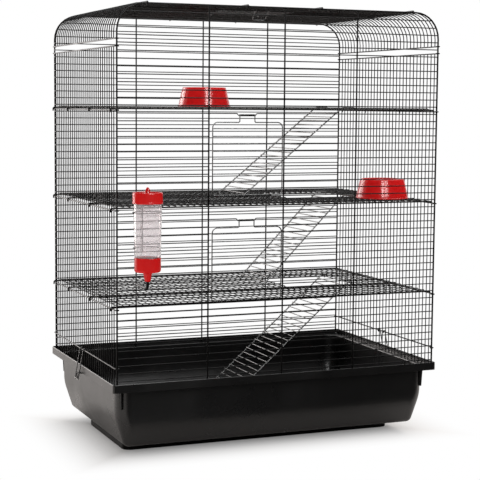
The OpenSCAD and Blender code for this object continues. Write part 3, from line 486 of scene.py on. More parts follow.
def line_z(i):
    """The height of a level wire, counted from the lowest one."""
    return LINE_Z + LINE_PITCH * i


def top_lines(y):
    """The level wires that end in the frame's round corners."""
    made = []
    for z in map(line_z, range(WHOLE_LINES, ALL_LINES)):
        half = ARCH_X + math.sqrt(CORNER_R ** 2 - (z - ARCH_Z) ** 2)
        made.append([(-half, y, z), (half, y, z)])
    return wires(made, LINE_D, coated)


def whole_lines(y, first, last, seed):
    """The level wires from one to another that run over the whole width."""
    row = [(-HALF_W, y, line_z(first)), (HALF_W, y, line_z(first))]
    return wires([row], LINE_D, coated, last - first + 1, LINE_STEP, uneven=LINE_STRAY, seed=seed)


def frame_wires(side):
    """What the front (-1) and the back (1) share: the frame, the braces, the top wires and the welds."""
    posts = [[(x, side * BRACE_Y, LEDGE), (x, side * BRACE_Y, TOP_Z)] for x in BRACES]
    crossings = [(x, side * WELD_Y, LINE_Z) for x in BRACES]
    ends = [(x, side * WELD_Y, LINE_Z) for x in (-HALF_W, HALF_W)]
    return [formed([hoop(side * HALF_D, CORNER_R, LEDGE)], FRAME_D, coated),
            wires(posts, BRACE_D, coated, sides=10),
            top_lines(side * LINE_Y),
            welds(crossings, BEAD_D, coated, ALL_LINES, LINE_STEP),
            welds(ends, CORNER_BEAD_D, coated, WHOLE_LINES, LINE_STEP)]


def doorway_wires(first):
    """The cut wires beside a doorway, and the wire above it, which dips for the door's loop."""
    z = line_z(first + 1)
    beside = [[(-HALF_W, -LINE_Y, z), (BRACES[0] + BRACE_LAP, -LINE_Y, z)],
              [(BRACES[1] - BRACE_LAP, -LINE_Y, z), (HALF_W, -LINE_Y, z)]]
    z = line_z(first + DOOR_GAPS)
    left = [(LOOP_LEFT - out, z - down) for out, down in DIP_BEND]
    right = [(LOOP_RIGHT + out, z - down) for out, down in DIP_BEND[::-1]]
    dipped = [(x, -LINE_Y + (DIP_BACK if h < z else 0.0), h)
              for x, h in [(-HALF_W, z), *left, *right, (HALF_W, z)]]
    return [wires(beside, LINE_D, coated, DOOR_GAPS - 1, LINE_STEP, uneven=LINE_STRAY, seed=first),
            wires([dipped], LINE_D, coated)]


def coated_wire_material():
    """Wire dipped in black: a satin coat, a little thicker and rougher in places, with a few small chips."""
    made, vector = start_material("black_wire_coat", {"Specular IOR Level": 0.12})
    skin = placed_group(made, SKIN, vector, {"Grain Scale": 700.0, "Flow Scale": 25.0})
    chips = placed_group(made, MARKS, vector, {"Mark Scale": 260.0, "Share": 0.30})
    tone = blended(made, skin["Flow"], (0.0022, 0.0020, 0.0020), (0.0050, 0.0045, 0.0044))
    return surfaced(made, blended(made, chips["Marks"], tone, (0.03, 0.03, 0.029)),
                    ranged(made, skin["Flow"], 0.24, 0.38), bumped(made, skin["Grain"], 0.00015, 0.4))


coated = coated_wire_material()
front = frame_wires(-1)
first = 0
for door in (*DOOR_LINES, WHOLE_LINES - 1):
    front.append(whole_lines(-LINE_Y, first, door, first))
    first = door + DOOR_GAPS + 1
for door in DOOR_LINES:
    front += doorway_wires(door)
wire_piece("front_wires", front, "wire_top", "front_panel")


# Back panel: the same welded wire as the front, without doorways. It stands in the tray's ledge and is held
# by the curled ends of the side wires.
back = [*frame_wires(1), whole_lines(LINE_Y, 0, WHOLE_LINES - 1, 3)]
wire_piece("back_wires", back, "wire_top", "back_panel")


# Side panels: thirty upright wires welded to five thicker level wires, whose ends curl round the corner wires
# of the front and the back and so hinge and hold the panels together.
CURL_R, SIDE_D, UPRIGHT_D, OUTER_X, UPRIGHT_X, WELD_X = 3.47, 3.0, 2.4, 393.6, 391.54, 392.4
UPRIGHTS, SIDE_PITCH, SIDE_STRAY = 30, 2 * HALF_D / 31, 0.3
SIDE_STEP = (0, SIDE_PITCH, 0)
SHELF_HOOKS = (340.5, 555.5, 770.5)
SIDE_LEVELS = (212.0, *SHELF_HOOKS, 905.7)
SLOT_TOP, END_LAP = 921.9, 1.0


def curled(side, z):
    """A level wire along a side, with both of its ends curled inwards round the corner wires."""
    flat = [*arc(HALF_W, -HALF_D, CURL_R, 180, 180, 10), *arc(HALF_W, HALF_D, CURL_R, 0, 180, 10)]
    return [(side * x, y, z) for x, y in flat]


def upright_y(i):
    """The place of an upright wire of a side, and of the arch above it, counted from the front."""
    return -HALF_D + SIDE_PITCH * i


def side_panel(label, side):
    """The welded wires of one side, whose uprights stand inside its level wires."""
    x, y = side * UPRIGHT_X, upright_y(1)
    made = [formed([curled(side, z) for z in SIDE_LEVELS], SIDE_D, coated, sides=10),
            wires([[(x, y, LEDGE), (x, y, SIDE_LEVELS[-1] + END_LAP)]], UPRIGHT_D, coated, UPRIGHTS,
                  SIDE_STEP, uneven=SIDE_STRAY, seed=5 + side),
            welds([(side * WELD_X, y, z) for z in SIDE_LEVELS], BEAD_D, coated, UPRIGHTS, SIDE_STEP)]
    wire_piece(label + "_side_wires", made, "wire_top", label + "_side_panel")


side_panel("left", -1)
side_panel("right", 1)


# Roof panel: thirty arched wires over the whole width, welded to four cross wires that curl over the front
# and back frames. Nine of the arches stop at the inner cross wires, which leaves the doorway in the roof.
ROOF_R, ROOF_Z, ROOF_WELD_Z = 61.54, 999.54, 1000.4
CROSSES, INNER_X = (-322.0, -90.0, 90.0, 322.0), 88.5
FIRST_CUT, CUT_ARCHES, BEHIND = 9, 9, 18


def arch(i):
    """The arched wire over the uprights of that number."""
    return hoop(upright_y(i), ROOF_R, SLOT_TOP - END_LAP)


def arches(paths, copies, seed):
    """Arched wires, repeated towards the back."""
    return wires(paths, UPRIGHT_D, coated, copies, SIDE_STEP, uneven=SIDE_STRAY, seed=seed)


cut_y = upright_y(FIRST_CUT)
left_arch = [p for p in arch(FIRST_CUT) if p[0] < -INNER_X] + [(-INNER_X, cut_y, ROOF_Z)]
right_arch = [(-x, y, z) for x, y, z in left_arch]
over = [*arc(-HALF_D, TOP_Z, CURL_R, 270, -180, 10), *arc(HALF_D, TOP_Z, CURL_R, 90, -180, 10)]
crossings = [(x, upright_y(1), ROOF_WELD_Z) for x in CROSSES]
ends = [(x, upright_y(1), SLOT_TOP) for x in (-WELD_X, WELD_X)]
roof = [arches([arch(1)], FIRST_CUT - 1, 11),
        arches([left_arch, right_arch], CUT_ARCHES, 12),
        arches([arch(BEHIND)], UPRIGHTS - BEHIND + 1, 13),
        formed([[(x, y, z) for y, z in over] for x in CROSSES], SIDE_D, coated, sides=10),
        formed([curled(-1, SLOT_TOP), curled(1, SLOT_TOP)], SIDE_D, coated, sides=10),
        welds([*crossings, *ends], BEAD_D, coated, UPRIGHTS, SIDE_STEP)]
wire_piece("roof_wires", roof, "wire_top", "roof_panel")


# Shelves: welded mesh of thin wire on four 3.5 mm bars. The bars' ends are bent down over the level wires
# of the sides, and an opening at the right takes the ladder.
MESH_D, BAR_D, BAR_RISE, BAR_TIP = 1.95, 3.5, 3.35, 5.0
MESH_RISE, ROW_RISE, SHELF_TOP = 5.55, 6.96, 7.86
BARS = (-232.1, -66.3, 116.05, 248.7)
MESH_PITCH, MESH_HALF, MESH_WIRES, ROW_PITCH, ROW_START, ROWS = 15.0, 382.5, 52, 29.0, -225.1, 17
OPEN_LEFT, OPEN_RIGHT, OVER, BAR_LAP, ROW_LAP = 97.5, 277.5, 2.0, 1.7, 0.9
MESH_BEAD_D, BAR_BEAD_D, BAR_BEAD_RISE = 2.3, 2.6, 4.9
MESH_STRAY, ROW_STRAY = 0.35, 0.5


def shelf_mesh(label, z, seed):
    """One shelf, whose level is that of the side wires that it hooks over."""
    front_end, back_end, side = BARS[0] - OVER, BARS[3] + OVER, MESH_HALF + OVER
    mesh_z, row_z = z + MESH_RISE, z + ROW_RISE
    mesh_step, row_step = (MESH_PITCH, 0, 0), (0, ROW_PITCH, 0)
    left = round((OPEN_LEFT + MESH_HALF) / MESH_PITCH)
    right = round((OPEN_RIGHT + MESH_HALF) / MESH_PITCH)

    def mesh_wires(parts, first, count, seed):
        """Mesh wires from that number on, each in parts from one depth to another."""
        x = first * MESH_PITCH - MESH_HALF
        return wires([[(x, a, mesh_z), (x, b, mesh_z)] for a, b in parts], MESH_D, coated, count, mesh_step,
                     uneven=MESH_STRAY, seed=seed, sides=7)

    def row_wires(parts, rows, seed):
        """Cross wires at those depths, each in parts from one side to another."""
        return wires([[(a, rows[0], row_z), (b, rows[0], row_z)] for a, b in parts], MESH_D, coated,
                     len(rows), row_step, uneven=ROW_STRAY, seed=seed, sides=7)

    bar = [(-OUTER_X - BAR_RISE, z - BAR_TIP), *arc(-OUTER_X, z, BAR_RISE, 180, -90, 6),
           *arc(OUTER_X, z, BAR_RISE, 90, -90, 6), (OUTER_X + BAR_RISE, z - BAR_TIP)]
    depths = [ROW_START + ROW_PITCH * k for k in range(ROWS)]
    at_opening = [y for y in depths if BARS[1] < y < BARS[2]]
    bead_z = (mesh_z + row_z) / 2
    made = [wires([[(x, y, h) for x, h in bar] for y in BARS], BAR_D, coated, sides=10),
            mesh_wires([(front_end, back_end)], 0, left + 1, seed),
            mesh_wires([(front_end, back_end)], right, MESH_WIRES - right, seed + right),
            mesh_wires([(front_end, BARS[1] + BAR_LAP), (BARS[2] - BAR_LAP, back_end)], left + 1,
                       right - left - 1, seed),
            row_wires([(-side, side)], [y for y in depths if y < BARS[1]], seed + 7),
            row_wires([(-side, side)], [y for y in depths if y > BARS[2]], seed + 7),
            row_wires([(-side, OPEN_LEFT + ROW_LAP), (OPEN_RIGHT - ROW_LAP, side)], at_opening, seed + 8),
            welds([(-MESH_HALF, y, z + BAR_BEAD_RISE) for y in BARS], BAR_BEAD_D, coated, MESH_WIRES,
                  mesh_step)]
    for x, count in ((-MESH_HALF, left + 1), (OPEN_RIGHT, MESH_WIRES - right)):
        made.append(welds([(x, ROW_START, bead_z)], MESH_BEAD_D, coated, count, mesh_step, ROWS, row_step))
    wire_piece(label + "_shelf_mesh", made, "wire_top", label + "_shelf")


for label, level in zip(("lower", "middle", "upper"), SHELF_HOOKS):
    shelf_mesh(label, level, 20 + int(level))


# Ladders: two rails of 3.1 mm zinc-plated wire with 2.3 mm rungs welded on top of them. The rails' upper
# ends hook over the edge of a shelf's opening, and their feet stand on the floor below.
LADDER_Y, LADDER_HALF, RAIL_D, RUNG_D, RUNG_PITCH, RUNG_FIRST = 25.0, 75.0, 3.1, 2.3, 15.2, 11.0
HOOK_R, HEAD_R, FOOT_RISE, RUNG_RISE, RUNG_BEAD_D, RUNG_BEAD_SHARE = 2.7, 9.0, 1.8, 2.375, 3.1, 0.6
RUNG_STRAY = 0.5
LADDERS = (("upper", SHELF_HOOKS[2], SHELF_HOOKS[1] + SHELF_TOP, 29.5, 264.0),
           ("middle", SHELF_HOOKS[1], SHELF_HOOKS[0] + SHELF_TOP, 25.0, 212.0),
           ("lower", SHELF_HOOKS[0], WALL, 7.5, 398.0))


def zinc_skin():
    """Zinc plating: faint crystals, and the fine lines that drawing leaves along the wire."""
    group, given, put = effect_group("zinc_skin", (("Crystal Scale", 240.0), ("Line Scale", 1500.0)),
                                     ("Crystals", "Lines"))
    cells = added(group, "ShaderNodeTexVoronoi", {"Vector": given["Vector"], "Scale": given["Crystal Scale"]})
    grey = added(group, "ShaderNodeSeparateColor", {"Color": cells["Color"]})
    filled(group, put, {"Crystals": grey["Red"],
                        "Lines": noise(group, given["Vector"], given["Line Scale"], 2.0)})
    return group


def zinc_material():
    """Zinc plating on drawn wire, dulled by handling."""
    made, vector = start_material("zinc_plating", {"Metallic": 1.0})
    zinc = placed_group(made, zinc_skin(), vector, {"Crystal Scale": 240.0, "Line Scale": 1500.0})
    marks = placed_group(made, MARKS, vector, {"Mark Scale": 90.0, "Share": 0.40})
    tone = blended(made, zinc["Crystals"], (0.10, 0.10, 0.102), (0.16, 0.16, 0.157))
    return surfaced(made, blended(made, marks["Marks"], tone, (0.09, 0.088, 0.085)),
                    ranged(made, zinc["Crystals"], 0.24, 0.40), bumped(made, zinc["Lines"], 0.00008, 0.4))


def bent(points, radii, steps=6):
    """A path whose corners are bent to the given radii, in any plane."""
    run = [Vector(points[0])]
    for i in range(1, len(points) - 1):
        here = Vector(points[i])
        before, after = Vector(points[i - 1]) - here, Vector(points[i + 1]) - here
        turn = math.pi - before.angle(after)
        reach = radii[i - 1] * math.tan(turn / 2)
        start, end = here + before.normalized() * reach, here + after.normalized() * reach
        bulge = math.cos(turn / 2)
        for k in range(steps + 1):
            u = k / steps
            a, b, c = (1 - u) ** 2, 2 * u * (1 - u) * bulge, u ** 2
            run.append((start * a + here * b + end * c) / (a + b + c))
    run.append(Vector(points[-1]))
    return run


def ladder_wires(label, level, floor_z, top_run, reach):
    """A ladder from the opening of a shelf to the floor below."""
    edge_z = level + MESH_RISE
    head = Vector((OPEN_RIGHT - top_run, 0, edge_z + HOOK_R))
    foot = Vector((head.x - reach, 0, floor_z + FOOT_RISE))
    slope = head - foot
    along = slope.normalized()
    up = Vector((-along.z, 0, along.x)) * RUNG_RISE
    hook = [Vector((x, 0, z)) for x, z in arc(OPEN_RIGHT, edge_z, HOOK_R, -90, 180, 10)]
    near = Vector((0, LADDER_Y - LADDER_HALF, 0))
    rail = [p + near for p in hook[:-1] + bent([hook[-1], head, foot], [HEAD_R])]
    rungs = math.floor((slope.length - 2 * RUNG_FIRST) / RUNG_PITCH) + 1
    first = foot + along * RUNG_FIRST + up
    bead = foot + along * RUNG_FIRST + up * RUNG_BEAD_SHARE
    half = LADDER_HALF + RAIL_D / 2
    rung = [(first.x, LADDER_Y - half, first.z), (first.x, LADDER_Y + half, first.z)]
    beads = [(bead.x, LADDER_Y + side * LADDER_HALF, bead.z) for side in (-1, 1)]
    step = along * RUNG_PITCH
    made = [formed([rail], RAIL_D, zinc_plating, 2, (0, 2 * LADDER_HALF, 0)),
            formed([rung], RUNG_D, zinc_plating, rungs, step, sides=10, uneven=RUNG_STRAY,
                   seed=SHELF_HOOKS.index(level)),
            welds(beads, RUNG_BEAD_D, zinc_plating, rungs, step)]
    wire_piece(label + "_ladder_wires", made, label + "_ladder", label + "_ladder")


zinc_plating = zinc_material()
for row in LADDERS:
    ladder_wires(*row)


# Front doors: a frame of 2.5 mm zinc-plated wire with level wires welded behind it. Two rings turn on a level
# wire of the panel, and a springy loop in the frame's top snaps over the dipped wire above the doorway.
DOOR_D, DOOR_LEFT, DOOR_RIGHT, DOOR_Y, DOOR_WELD_Y, DOOR_BEAD_D = 2.5, -171.0, -4.0, 256.4, 255.5, 2.6
DOOR_FOOT, DOOR_TOP, DOOR_CORNER, DOOR_LAP = 2.9, 19.4, 12.0, 1.0
RING_D, RING_R, RING_INSET, RING_TURN, RING_STEPS = 2.0, 2.2, 25.0, 345, 23
LOOP_L, LOOP_R, LOOP_RISE, LOOP_CORNER, HOOK_CORNER = -107.0, -71.0, 2.45, 3.0, 0.8


def rings_on(y, z, r, left, right):
    """Two rings that turn about a level wire along X, each a little in from an end of the door."""
    flat = arc(y, z, r, 0, RING_TURN, RING_STEPS)
    paths = [[(x, a, b) for a, b in flat] for x in (left + RING_INSET, right - RING_INSET)]
    return formed(paths, RING_D, zinc_plating, sides=10, ring=True)


def slats(left, right, y, z, copies, step, seed):
    """The thin wires of a door, which reach a little over its frame."""
    return formed([[(left - DOOR_LAP, y, z), (right + DOOR_LAP, y, z)]], LINE_D, zinc_plating, copies,
                  step, sides=8, uneven=LINE_STRAY, seed=seed)


def door_wires(label, first):
    """A front door that hangs upright on the level wire of that number."""
    hinge, latch = line_z(first), line_z(first + DOOR_GAPS)
    foot_z, top_z, hook_z, y = hinge + DOOR_FOOT, latch - DOOR_TOP, latch - DIP + LOOP_RISE, -DOOR_Y
    middle = (DOOR_LEFT + DOOR_RIGHT) / 2
    corners = [(middle, y, foot_z), (DOOR_LEFT, y, foot_z), (DOOR_LEFT, y, top_z), (LOOP_L, y, top_z),
               (LOOP_L, y, hook_z), (LOOP_L, -LINE_Y, hook_z), (LOOP_R, -LINE_Y, hook_z), (LOOP_R, y, hook_z),
               (LOOP_R, y, top_z), (DOOR_RIGHT, y, top_z), (DOOR_RIGHT, y, foot_z), (middle, y, foot_z)]
    radii = [LOOP_CORNER, DOOR_CORNER, LOOP_CORNER, *[HOOK_CORNER] * 4, LOOP_CORNER, DOOR_CORNER, LOOP_CORNER]
    beads = [(x, -DOOR_WELD_Y, line_z(first + 1)) for x in (DOOR_LEFT, DOOR_RIGHT)]
    made = [formed([bent(corners, radii)[:-1]], DOOR_D, zinc_plating, ring=True),
            slats(DOOR_LEFT, DOOR_RIGHT, -LINE_Y, line_z(first + 1), DOOR_GAPS - 2, LINE_STEP, first),
            rings_on(-LINE_Y, hinge, RING_R, DOOR_LEFT, DOOR_RIGHT),
            welds(beads, DOOR_BEAD_D, zinc_plating, DOOR_GAPS - 2, LINE_STEP)]
    wire_piece(label + "_door_wires", made, label + "_door", label + "_door")


door_wires("lower", DOOR_LINES[0])
door_wires("upper", DOOR_LINES[1])


# Roof door: a zinc-plated frame over the doorway in the roof, hinged on an arch by two rings. Its latch is
# a bent wire clip that swings on the frame's front wire and hangs down inside.
ROOF_DOOR_Z, ROOF_DOOR_X, ROOF_FRONT, ROOF_HINGE, ROOF_BACK = 1001.37, 86.0, -119.86, 41.45, 37.98
ROOF_CORNER, BACK_CORNER, ROOF_RING_R = 10.0, 2.0, 2.3
LATCH_D, LATCH_HALF, LATCH_X, LATCH_RING, LATCH_LONG, LATCH_R = 2.0, 16.0, 4.0, 2.55, 31.0, 6.0
LATCH_TILT = math.radians(49)
frame_path = [(0, ROOF_BACK), (-ROOF_DOOR_X, ROOF_BACK), (-ROOF_DOOR_X, ROOF_FRONT),
              (ROOF_DOOR_X, ROOF_FRONT), (ROOF_DOOR_X, ROOF_BACK), (0, ROOF_BACK)]
frame_path = bent([(x, y, ROOF_DOOR_Z) for x, y in frame_path],
                  [BACK_CORNER, ROOF_CORNER, ROOF_CORNER, BACK_CORNER])
beads = [(x, cut_y, ROOF_WELD_Z) for x in (-ROOF_DOOR_X, ROOF_DOOR_X)]
door = [formed([frame_path[:-1]], DOOR_D, zinc_plating, ring=True),
        slats(-ROOF_DOOR_X, ROOF_DOOR_X, cut_y, ROOF_Z, CUT_ARCHES, SIDE_STEP, 31),
        rings_on(ROOF_HINGE, ROOF_Z, ROOF_RING_R, -ROOF_DOOR_X, ROOF_DOOR_X),
        welds(beads, DOOR_BEAD_D, zinc_plating, CUT_ARCHES, SIDE_STEP)]
wire_piece("roof_door_wires", door, "roof_door", "roof_door")


def leaning(y, z, tilt):
    """A point of a leaning piece, from its own upright frame to the piece's lean, about its eye."""
    return y * math.cos(tilt) - z * math.sin(tilt), y * math.sin(tilt) + z * math.cos(tilt)


def hung(x, y, z):
    """A point of the hanging latch, from its own frame to the cage's."""
    turned_y, turned_z = leaning(y, z, LATCH_TILT)
    return LATCH_X + x, ROOF_FRONT + turned_y, ROOF_DOOR_Z + turned_z


far = -LATCH_RING - LATCH_LONG
clip = [(-LATCH_HALF, 0, -LATCH_RING), (-LATCH_HALF, 0, far), (LATCH_HALF, 0, far),
        (LATCH_HALF, 0, -LATCH_RING)]
eyes = [[hung(x, a, b) for a, b in arc(0, 0, LATCH_RING, -90, 335, 22)] for x in (-LATCH_HALF, LATCH_HALF)]
latch = [formed([[hung(*p) for p in bent(clip, [LATCH_R, LATCH_R])]], LATCH_D, zinc_plating),
         formed(eyes, LATCH_D, zinc_plating)]
wire_piece("roof_latch_wire", latch, "roof_latch", "roof_door_latch")


# Rim clips: one bent wire on each side. Its eyes turn on the lowest side wire, its legs lean out over the
# rim, two finger loops hang below, and the hook between them catches under the rim.
CLIP_D, CLIP_HALF, CLIP_RING, CLIP_LOOP, CLIP_R = 2.5, 13.0, 3.05, 4.0, 1.6
CLIP_TILT, CLIP_HOOK_X, CLIP_HOOK_Z, CLIP_LOOP_Z = math.radians(10.52), -7.02, -55.05, -66.0
CLIP_INNER = CLIP_HALF - 2 * CLIP_LOOP


def clip_point(side, x, y, z):
    """A point of a clip, from its own leaning frame to the cage's."""
    out, up = leaning(x, z, CLIP_TILT)
    return side * (OUTER_X + out), y, SIDE_LEVELS[0] + up


def clip_wire(label, side):
    """One clip, bent from one wire that is alike on both sides of its middle."""
    hook = [(CLIP_RING, CLIP_INNER, CLIP_LOOP_Z), (CLIP_RING, CLIP_INNER, CLIP_HOOK_Z),
            (CLIP_HOOK_X, CLIP_INNER, CLIP_HOOK_Z), (CLIP_HOOK_X, 0, CLIP_HOOK_Z)]
    half = [(x, CLIP_HALF, z) for x, z in arc(0, 0, CLIP_RING, 245, -245, 16)]
    half += [(CLIP_RING, y, z) for y, z in arc(CLIP_HALF - CLIP_LOOP, CLIP_LOOP_Z, CLIP_LOOP, 0, -180, 10)]
    half += [tuple(p) for p in bent(hook, [CLIP_R, CLIP_R])][1:]
    path = half + [(x, -y, z) for x, y, z in half[::-1][1:]]
    made = [formed([[clip_point(side, *p) for p in path]], CLIP_D, zinc_plating)]
    wire_piece(label + "_clip_wire", made, label + "_clip", label + "_rim_clip")


clip_wire("left", -1)
clip_wire("right", 1)


# Bowls: glossy red plastic mouldings, wide at the foot so that they don't tip, with a round food hollow and
# an open underside. They stand loose on the shelves. An outline's rows are radius, height and rounding.
TURNED_SIDES, TURNED_ANGLE = 96, 40.0
BOWL = [(0.0, 12.0, 0), (35.5, 12.0, 2.5), (46.6, 44.4, 0.8), (47.6, 46.0, 1.2), (51.6, 46.0, 1.4),
        (52.9, 44.2, 0.8), (61.6, 6.5, 1.5), (62.2, 2.4, 0.6), (63.5, 1.6, 0.5), (63.5, 0.0, 0.5),
        (60.8, 0.0, 0.5), (50.2, 43.4, 1.0), (49.0, 43.4, 1.0), (37.8, 9.5, 2.0), (0.0, 9.5, 0)]


def turned(outline):
    """A closed mesh that an outline sweeps round the Z axis."""
    shape, rows = bmesh.new(), []
    turns = [2 * math.pi * k / TURNED_SIDES for k in range(TURNED_SIDES)]
    for r, z in metres(softened(outline, 4)):
        around = turns if r > 1e-9 else [0.0]
        rows.append([shape.verts.new((r * math.cos(a), r * math.sin(a), z)) for a in around])
    if len(rows[0]) > 1 and len(rows[-1]) > 1:
        rows.append(rows[0])
    for low, high in zip(rows, rows[1:]):
        for k in range(TURNED_SIDES):
            n = (k + 1) % TURNED_SIDES
            corners = [low[k % len(low)], low[n % len(low)], high[n % len(high)], high[k % len(high)]]
            shape.faces.new([v for i, v in enumerate(corners) if v not in corners[:i]])
    bmesh.ops.recalc_face_normals(shape, faces=shape.faces)
    sharpened(shape, TURNED_ANGLE)
    return shape


def turned_piece(name, outline, centre, material, body, node):
    """A turned piece whose axis stands at centre, in metres."""
    shape = turned(outline)
    bmesh.ops.translate(shape, verts=shape.verts, vec=centre)
    finished_piece(name, shape, [material], body, [node])


def foot_centre(node):
    """The middle of a CAD node's lowest level."""
    low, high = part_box(node)
    return Vector(((low.x + high.x) / 2, (low.y + high.y) / 2, low.z))


# The bowls' red is paler than the red of the lid and cap. This is painted light that makes up for the shade
# the cage's wires cast on the bowls.
bowl_painted_light_moulding = moulded_material("bowl_painted_light_moulding", (0.84, 0.007, 0.009), (0.94, 0.012, 0.012), (0.13, 0.20),
                                 1400.0, spec=0.4)
for bowl in ("upper_bowl", "middle_bowl"):
    turned_piece(bowl + "_moulding", BOWL, foot_centre(bowl), bowl_painted_light_moulding, bowl, bowl)


# Bottle: a clear blown body that hangs neck down in front of the wires. A red push-in lid, dished round a
# pointed knob, closes its wide end. A red screw cap with a spout holds the seal and the steel tube.
BOTTLE_X, BOTTLE_Y, NECK_Z, SHOULDER_Z, TAPER_TOP, BOTTLE_TOP = -335.0, -299.6, 436.6, 459.6, 566.6, 590.6
NECK_R, BODY_LOW_R, BODY_R = 25.0, 28.5, 30.25
BODY = [(23.5, NECK_Z, 0.4), (NECK_R, NECK_Z, 0.6), (NECK_R, 439.5, 0.3), (25.6, 440.6, 0.3),
        (NECK_R, 441.7, 0.3), (NECK_R, 455.4, 1.5), (BODY_LOW_R, 459.8, 2.5), (BODY_R, TAPER_TOP, 2.0),
        (BODY_R, BOTTLE_TOP, 0.5), (28.75, BOTTLE_TOP, 0.5), (28.75, TAPER_TOP, 2.0), (27.0, 460.2, 2.5),
        (23.5, 456.2, 1.5)]
LID = [(0.0, 580.8, 0), (28.55, 580.8, 0.8), (28.55, 591.2, 0.3), (30.45, 591.2, 0.3), (30.45, 573.2, 0.4),
       (33.0, 573.2, 0.7), (33.0, 576.4, 0.3), (32.5, 577.0, 0.3), (32.5, 594.6, 1.2), (31.6, 597.2, 1.2),
       (28.0, 597.2, 1.2), (26.6, 595.2, 1.0), (25.2, 583.2, 1.5), (9.0, 583.2, 1.2), (8.5, 590.5, 2.0),
       (6.3, 599.0, 2.0), (3.4, 605.6, 1.6), (1.4, 607.9, 0.6), (0.0, 608.2, 0)]
CAP = [(3.6, 434.1, 0.3), (25.2, 434.1, 0.6), (25.2, 456.6, 0.4), (26.2, 457.6, 0.4), (28.7, 457.6, 0.7),
       (28.7, 430.6, 2.4), (26.6, 427.0, 2.0), (23.4, 426.2, 1.0), (10.4, 426.2, 1.0), (9.2, 422.0, 1.0),
       (6.5, 407.0, 0.6), (5.9, 406.2, 0.4), (3.6, 406.2, 0.3)]


def clear_material():
    """Clear polystyrene: glass-like, faintly warm, with rubbed marks that soften it in places."""
    made, vector = start_material("clear_plastic", {"Transmission Weight": 0.87, "IOR": 1.49})
    marks = placed_group(made, MARKS, vector, {"Mark Scale": 70.0, "Share": 0.45})
    skin = placed_group(made, SKIN, vector, {"Grain Scale": 300.0, "Flow Scale": 60.0})
    return surfaced(made, (0.94, 0.90, 0.905, 1.0), ranged(made, marks["Marks"], 0.02, 0.16),
                    bumped(made, skin["Flow"], 0.0003, 0.2))


def steel_material(name, deep, pale, rough):
    """Drawn steel with faint marks."""
    made, vector = start_material(name, {"Metallic": 1.0})
    skin = placed_group(made, SKIN, vector, {"Grain Scale": 1800.0, "Flow Scale": 120.0})
    return surfaced(made, blended(made, skin["Flow"], deep, pale), ranged(made, skin["Flow"], *rough),
                    bumped(made, skin["Grain"], 0.00005, 0.3))


red_moulding = moulded_material("red_moulding", (0.62, 0.005, 0.006), (0.72, 0.008, 0.008), (0.14, 0.24),
                                1400.0, spec=0.35)
clear_plastic = clear_material()
bottle_axis = Vector((BOTTLE_X, BOTTLE_Y, 0)) * MM
turned_piece("bottle_clear_body", BODY, bottle_axis, clear_plastic, "bottle", "bottle_body")
turned_piece("bottle_red_lid", LID, bottle_axis, red_moulding, "bottle_lid", "bottle_lid")
turned_piece("bottle_red_cap", CAP, bottle_axis, red_moulding, "bottle", "bottle_screw_cap")
dark_steel = steel_material("dark_steel", (0.025, 0.025, 0.027), (0.045, 0.044, 0.045), (0.25, 0.40))
ball_steel = steel_material("ball_steel", (0.50, 0.50, 0.51), (0.60, 0.60, 0.60), (0.08, 0.16))
seal_rubber = moulded_material("seal_rubber", (0.010, 0.010, 0.010), (0.016, 0.016, 0.016), (0.55, 0.70),
                               900.0)
for node, material in (("bottle_tube", dark_steel), ("bottle_ball", ball_steel),
                       ("bottle_seal", seal_rubber)):
    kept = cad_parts[node]
    kept.data.materials.clear()
    kept.data.materials.append(material)


# Bottle holder: zinc-plated wire that hooks over a level wire of the front, with two arms that reach half
# round the bottle from behind, so that the bottle pulls out forwards.
HOLDER_D, LINK_D, HANG_Z, HANG_R, HOLDER_Y, HOLDER_R, GRIP_GAP = 2.5, 2.2, 565.08, 2.45, -263.04, 2.0, 0.3
HOLDER_FOOT, HOLDER_FOOT_Y, ARM_HEIGHTS = 467.08, -255.77, (554.08, 478.08)
spine = bent([(BOTTLE_X, HOLDER_FOOT_Y, HOLDER_FOOT), (BOTTLE_X, HOLDER_Y, HOLDER_FOOT),
              (BOTTLE_X, HOLDER_Y, HANG_Z + HANG_R), (BOTTLE_X, -LINE_Y, HANG_Z + HANG_R)],
             [HOLDER_R, HOLDER_R])
spine += [(BOTTLE_X, y, z) for y, z in arc(-LINE_Y, HANG_Z, HANG_R, 90, -150, 10)][1:]
holder = [formed([spine], HOLDER_D, zinc_plating)]
for z in ARM_HEIGHTS:
    taper = (z + HOLDER_D / 2 - SHOULDER_Z) / (TAPER_TOP - SHOULDER_Z)
    grip = BODY_LOW_R + (BODY_R - BODY_LOW_R) * taper + GRIP_GAP + HOLDER_D / 2
    arm = [(x, y, z) for x, y in arc(BOTTLE_X, BOTTLE_Y, grip, 0, 180, 28)]
    link = [(BOTTLE_X, BOTTLE_Y + grip, z), (BOTTLE_X, HOLDER_Y, z)]
    holder += [formed([arm], HOLDER_D, zinc_plating), formed([link], LINK_D, zinc_plating, sides=10)]
wire_piece("bottle_holder_wire", holder, "wire_top", "bottle_holder")


# Floor, world, lamps and camera: a pale floor that keeps the cage's shadow, a white surround, soft studio
# light from above and from the left, and the camera at the photograph's viewpoint. Sizes are in metres.
FLOOR_HALF, FLOOR_COLOUR = 14.0, (0.85, 0.80, 0.765, 1.0)
SHADE_FROM, SHADE_TO, LEAST_WHITE = -0.05, 0.18, 0.06
SURROUND_LEVEL, FLAG_COLOUR = 0.62, (0.01, 0.01, 0.01, 1.0)
FLAG_LEFT, FLAG_RIGHT, FLAG_FRONT, FLAG_LOW, FLAG_TOP = -2.2, 2.6, -1.6, 0.01, 2.4
FLAG_WINGS = ((FLAG_LEFT, 0.9), (FLAG_RIGHT, 1.2))
FLAG_GROUND = ((FLAG_LEFT, FLAG_FRONT), (FLAG_RIGHT, FLAG_FRONT), (FLAG_RIGHT, -0.3), (-0.36, -0.3),
               (-1.0, -1.0), (FLAG_LEFT, -1.3))
SUN_STRENGTH, SUN_WIDTH, SUN_WAY = 1.7, math.radians(50.0), Vector((-0.34, -0.25, -1.0))
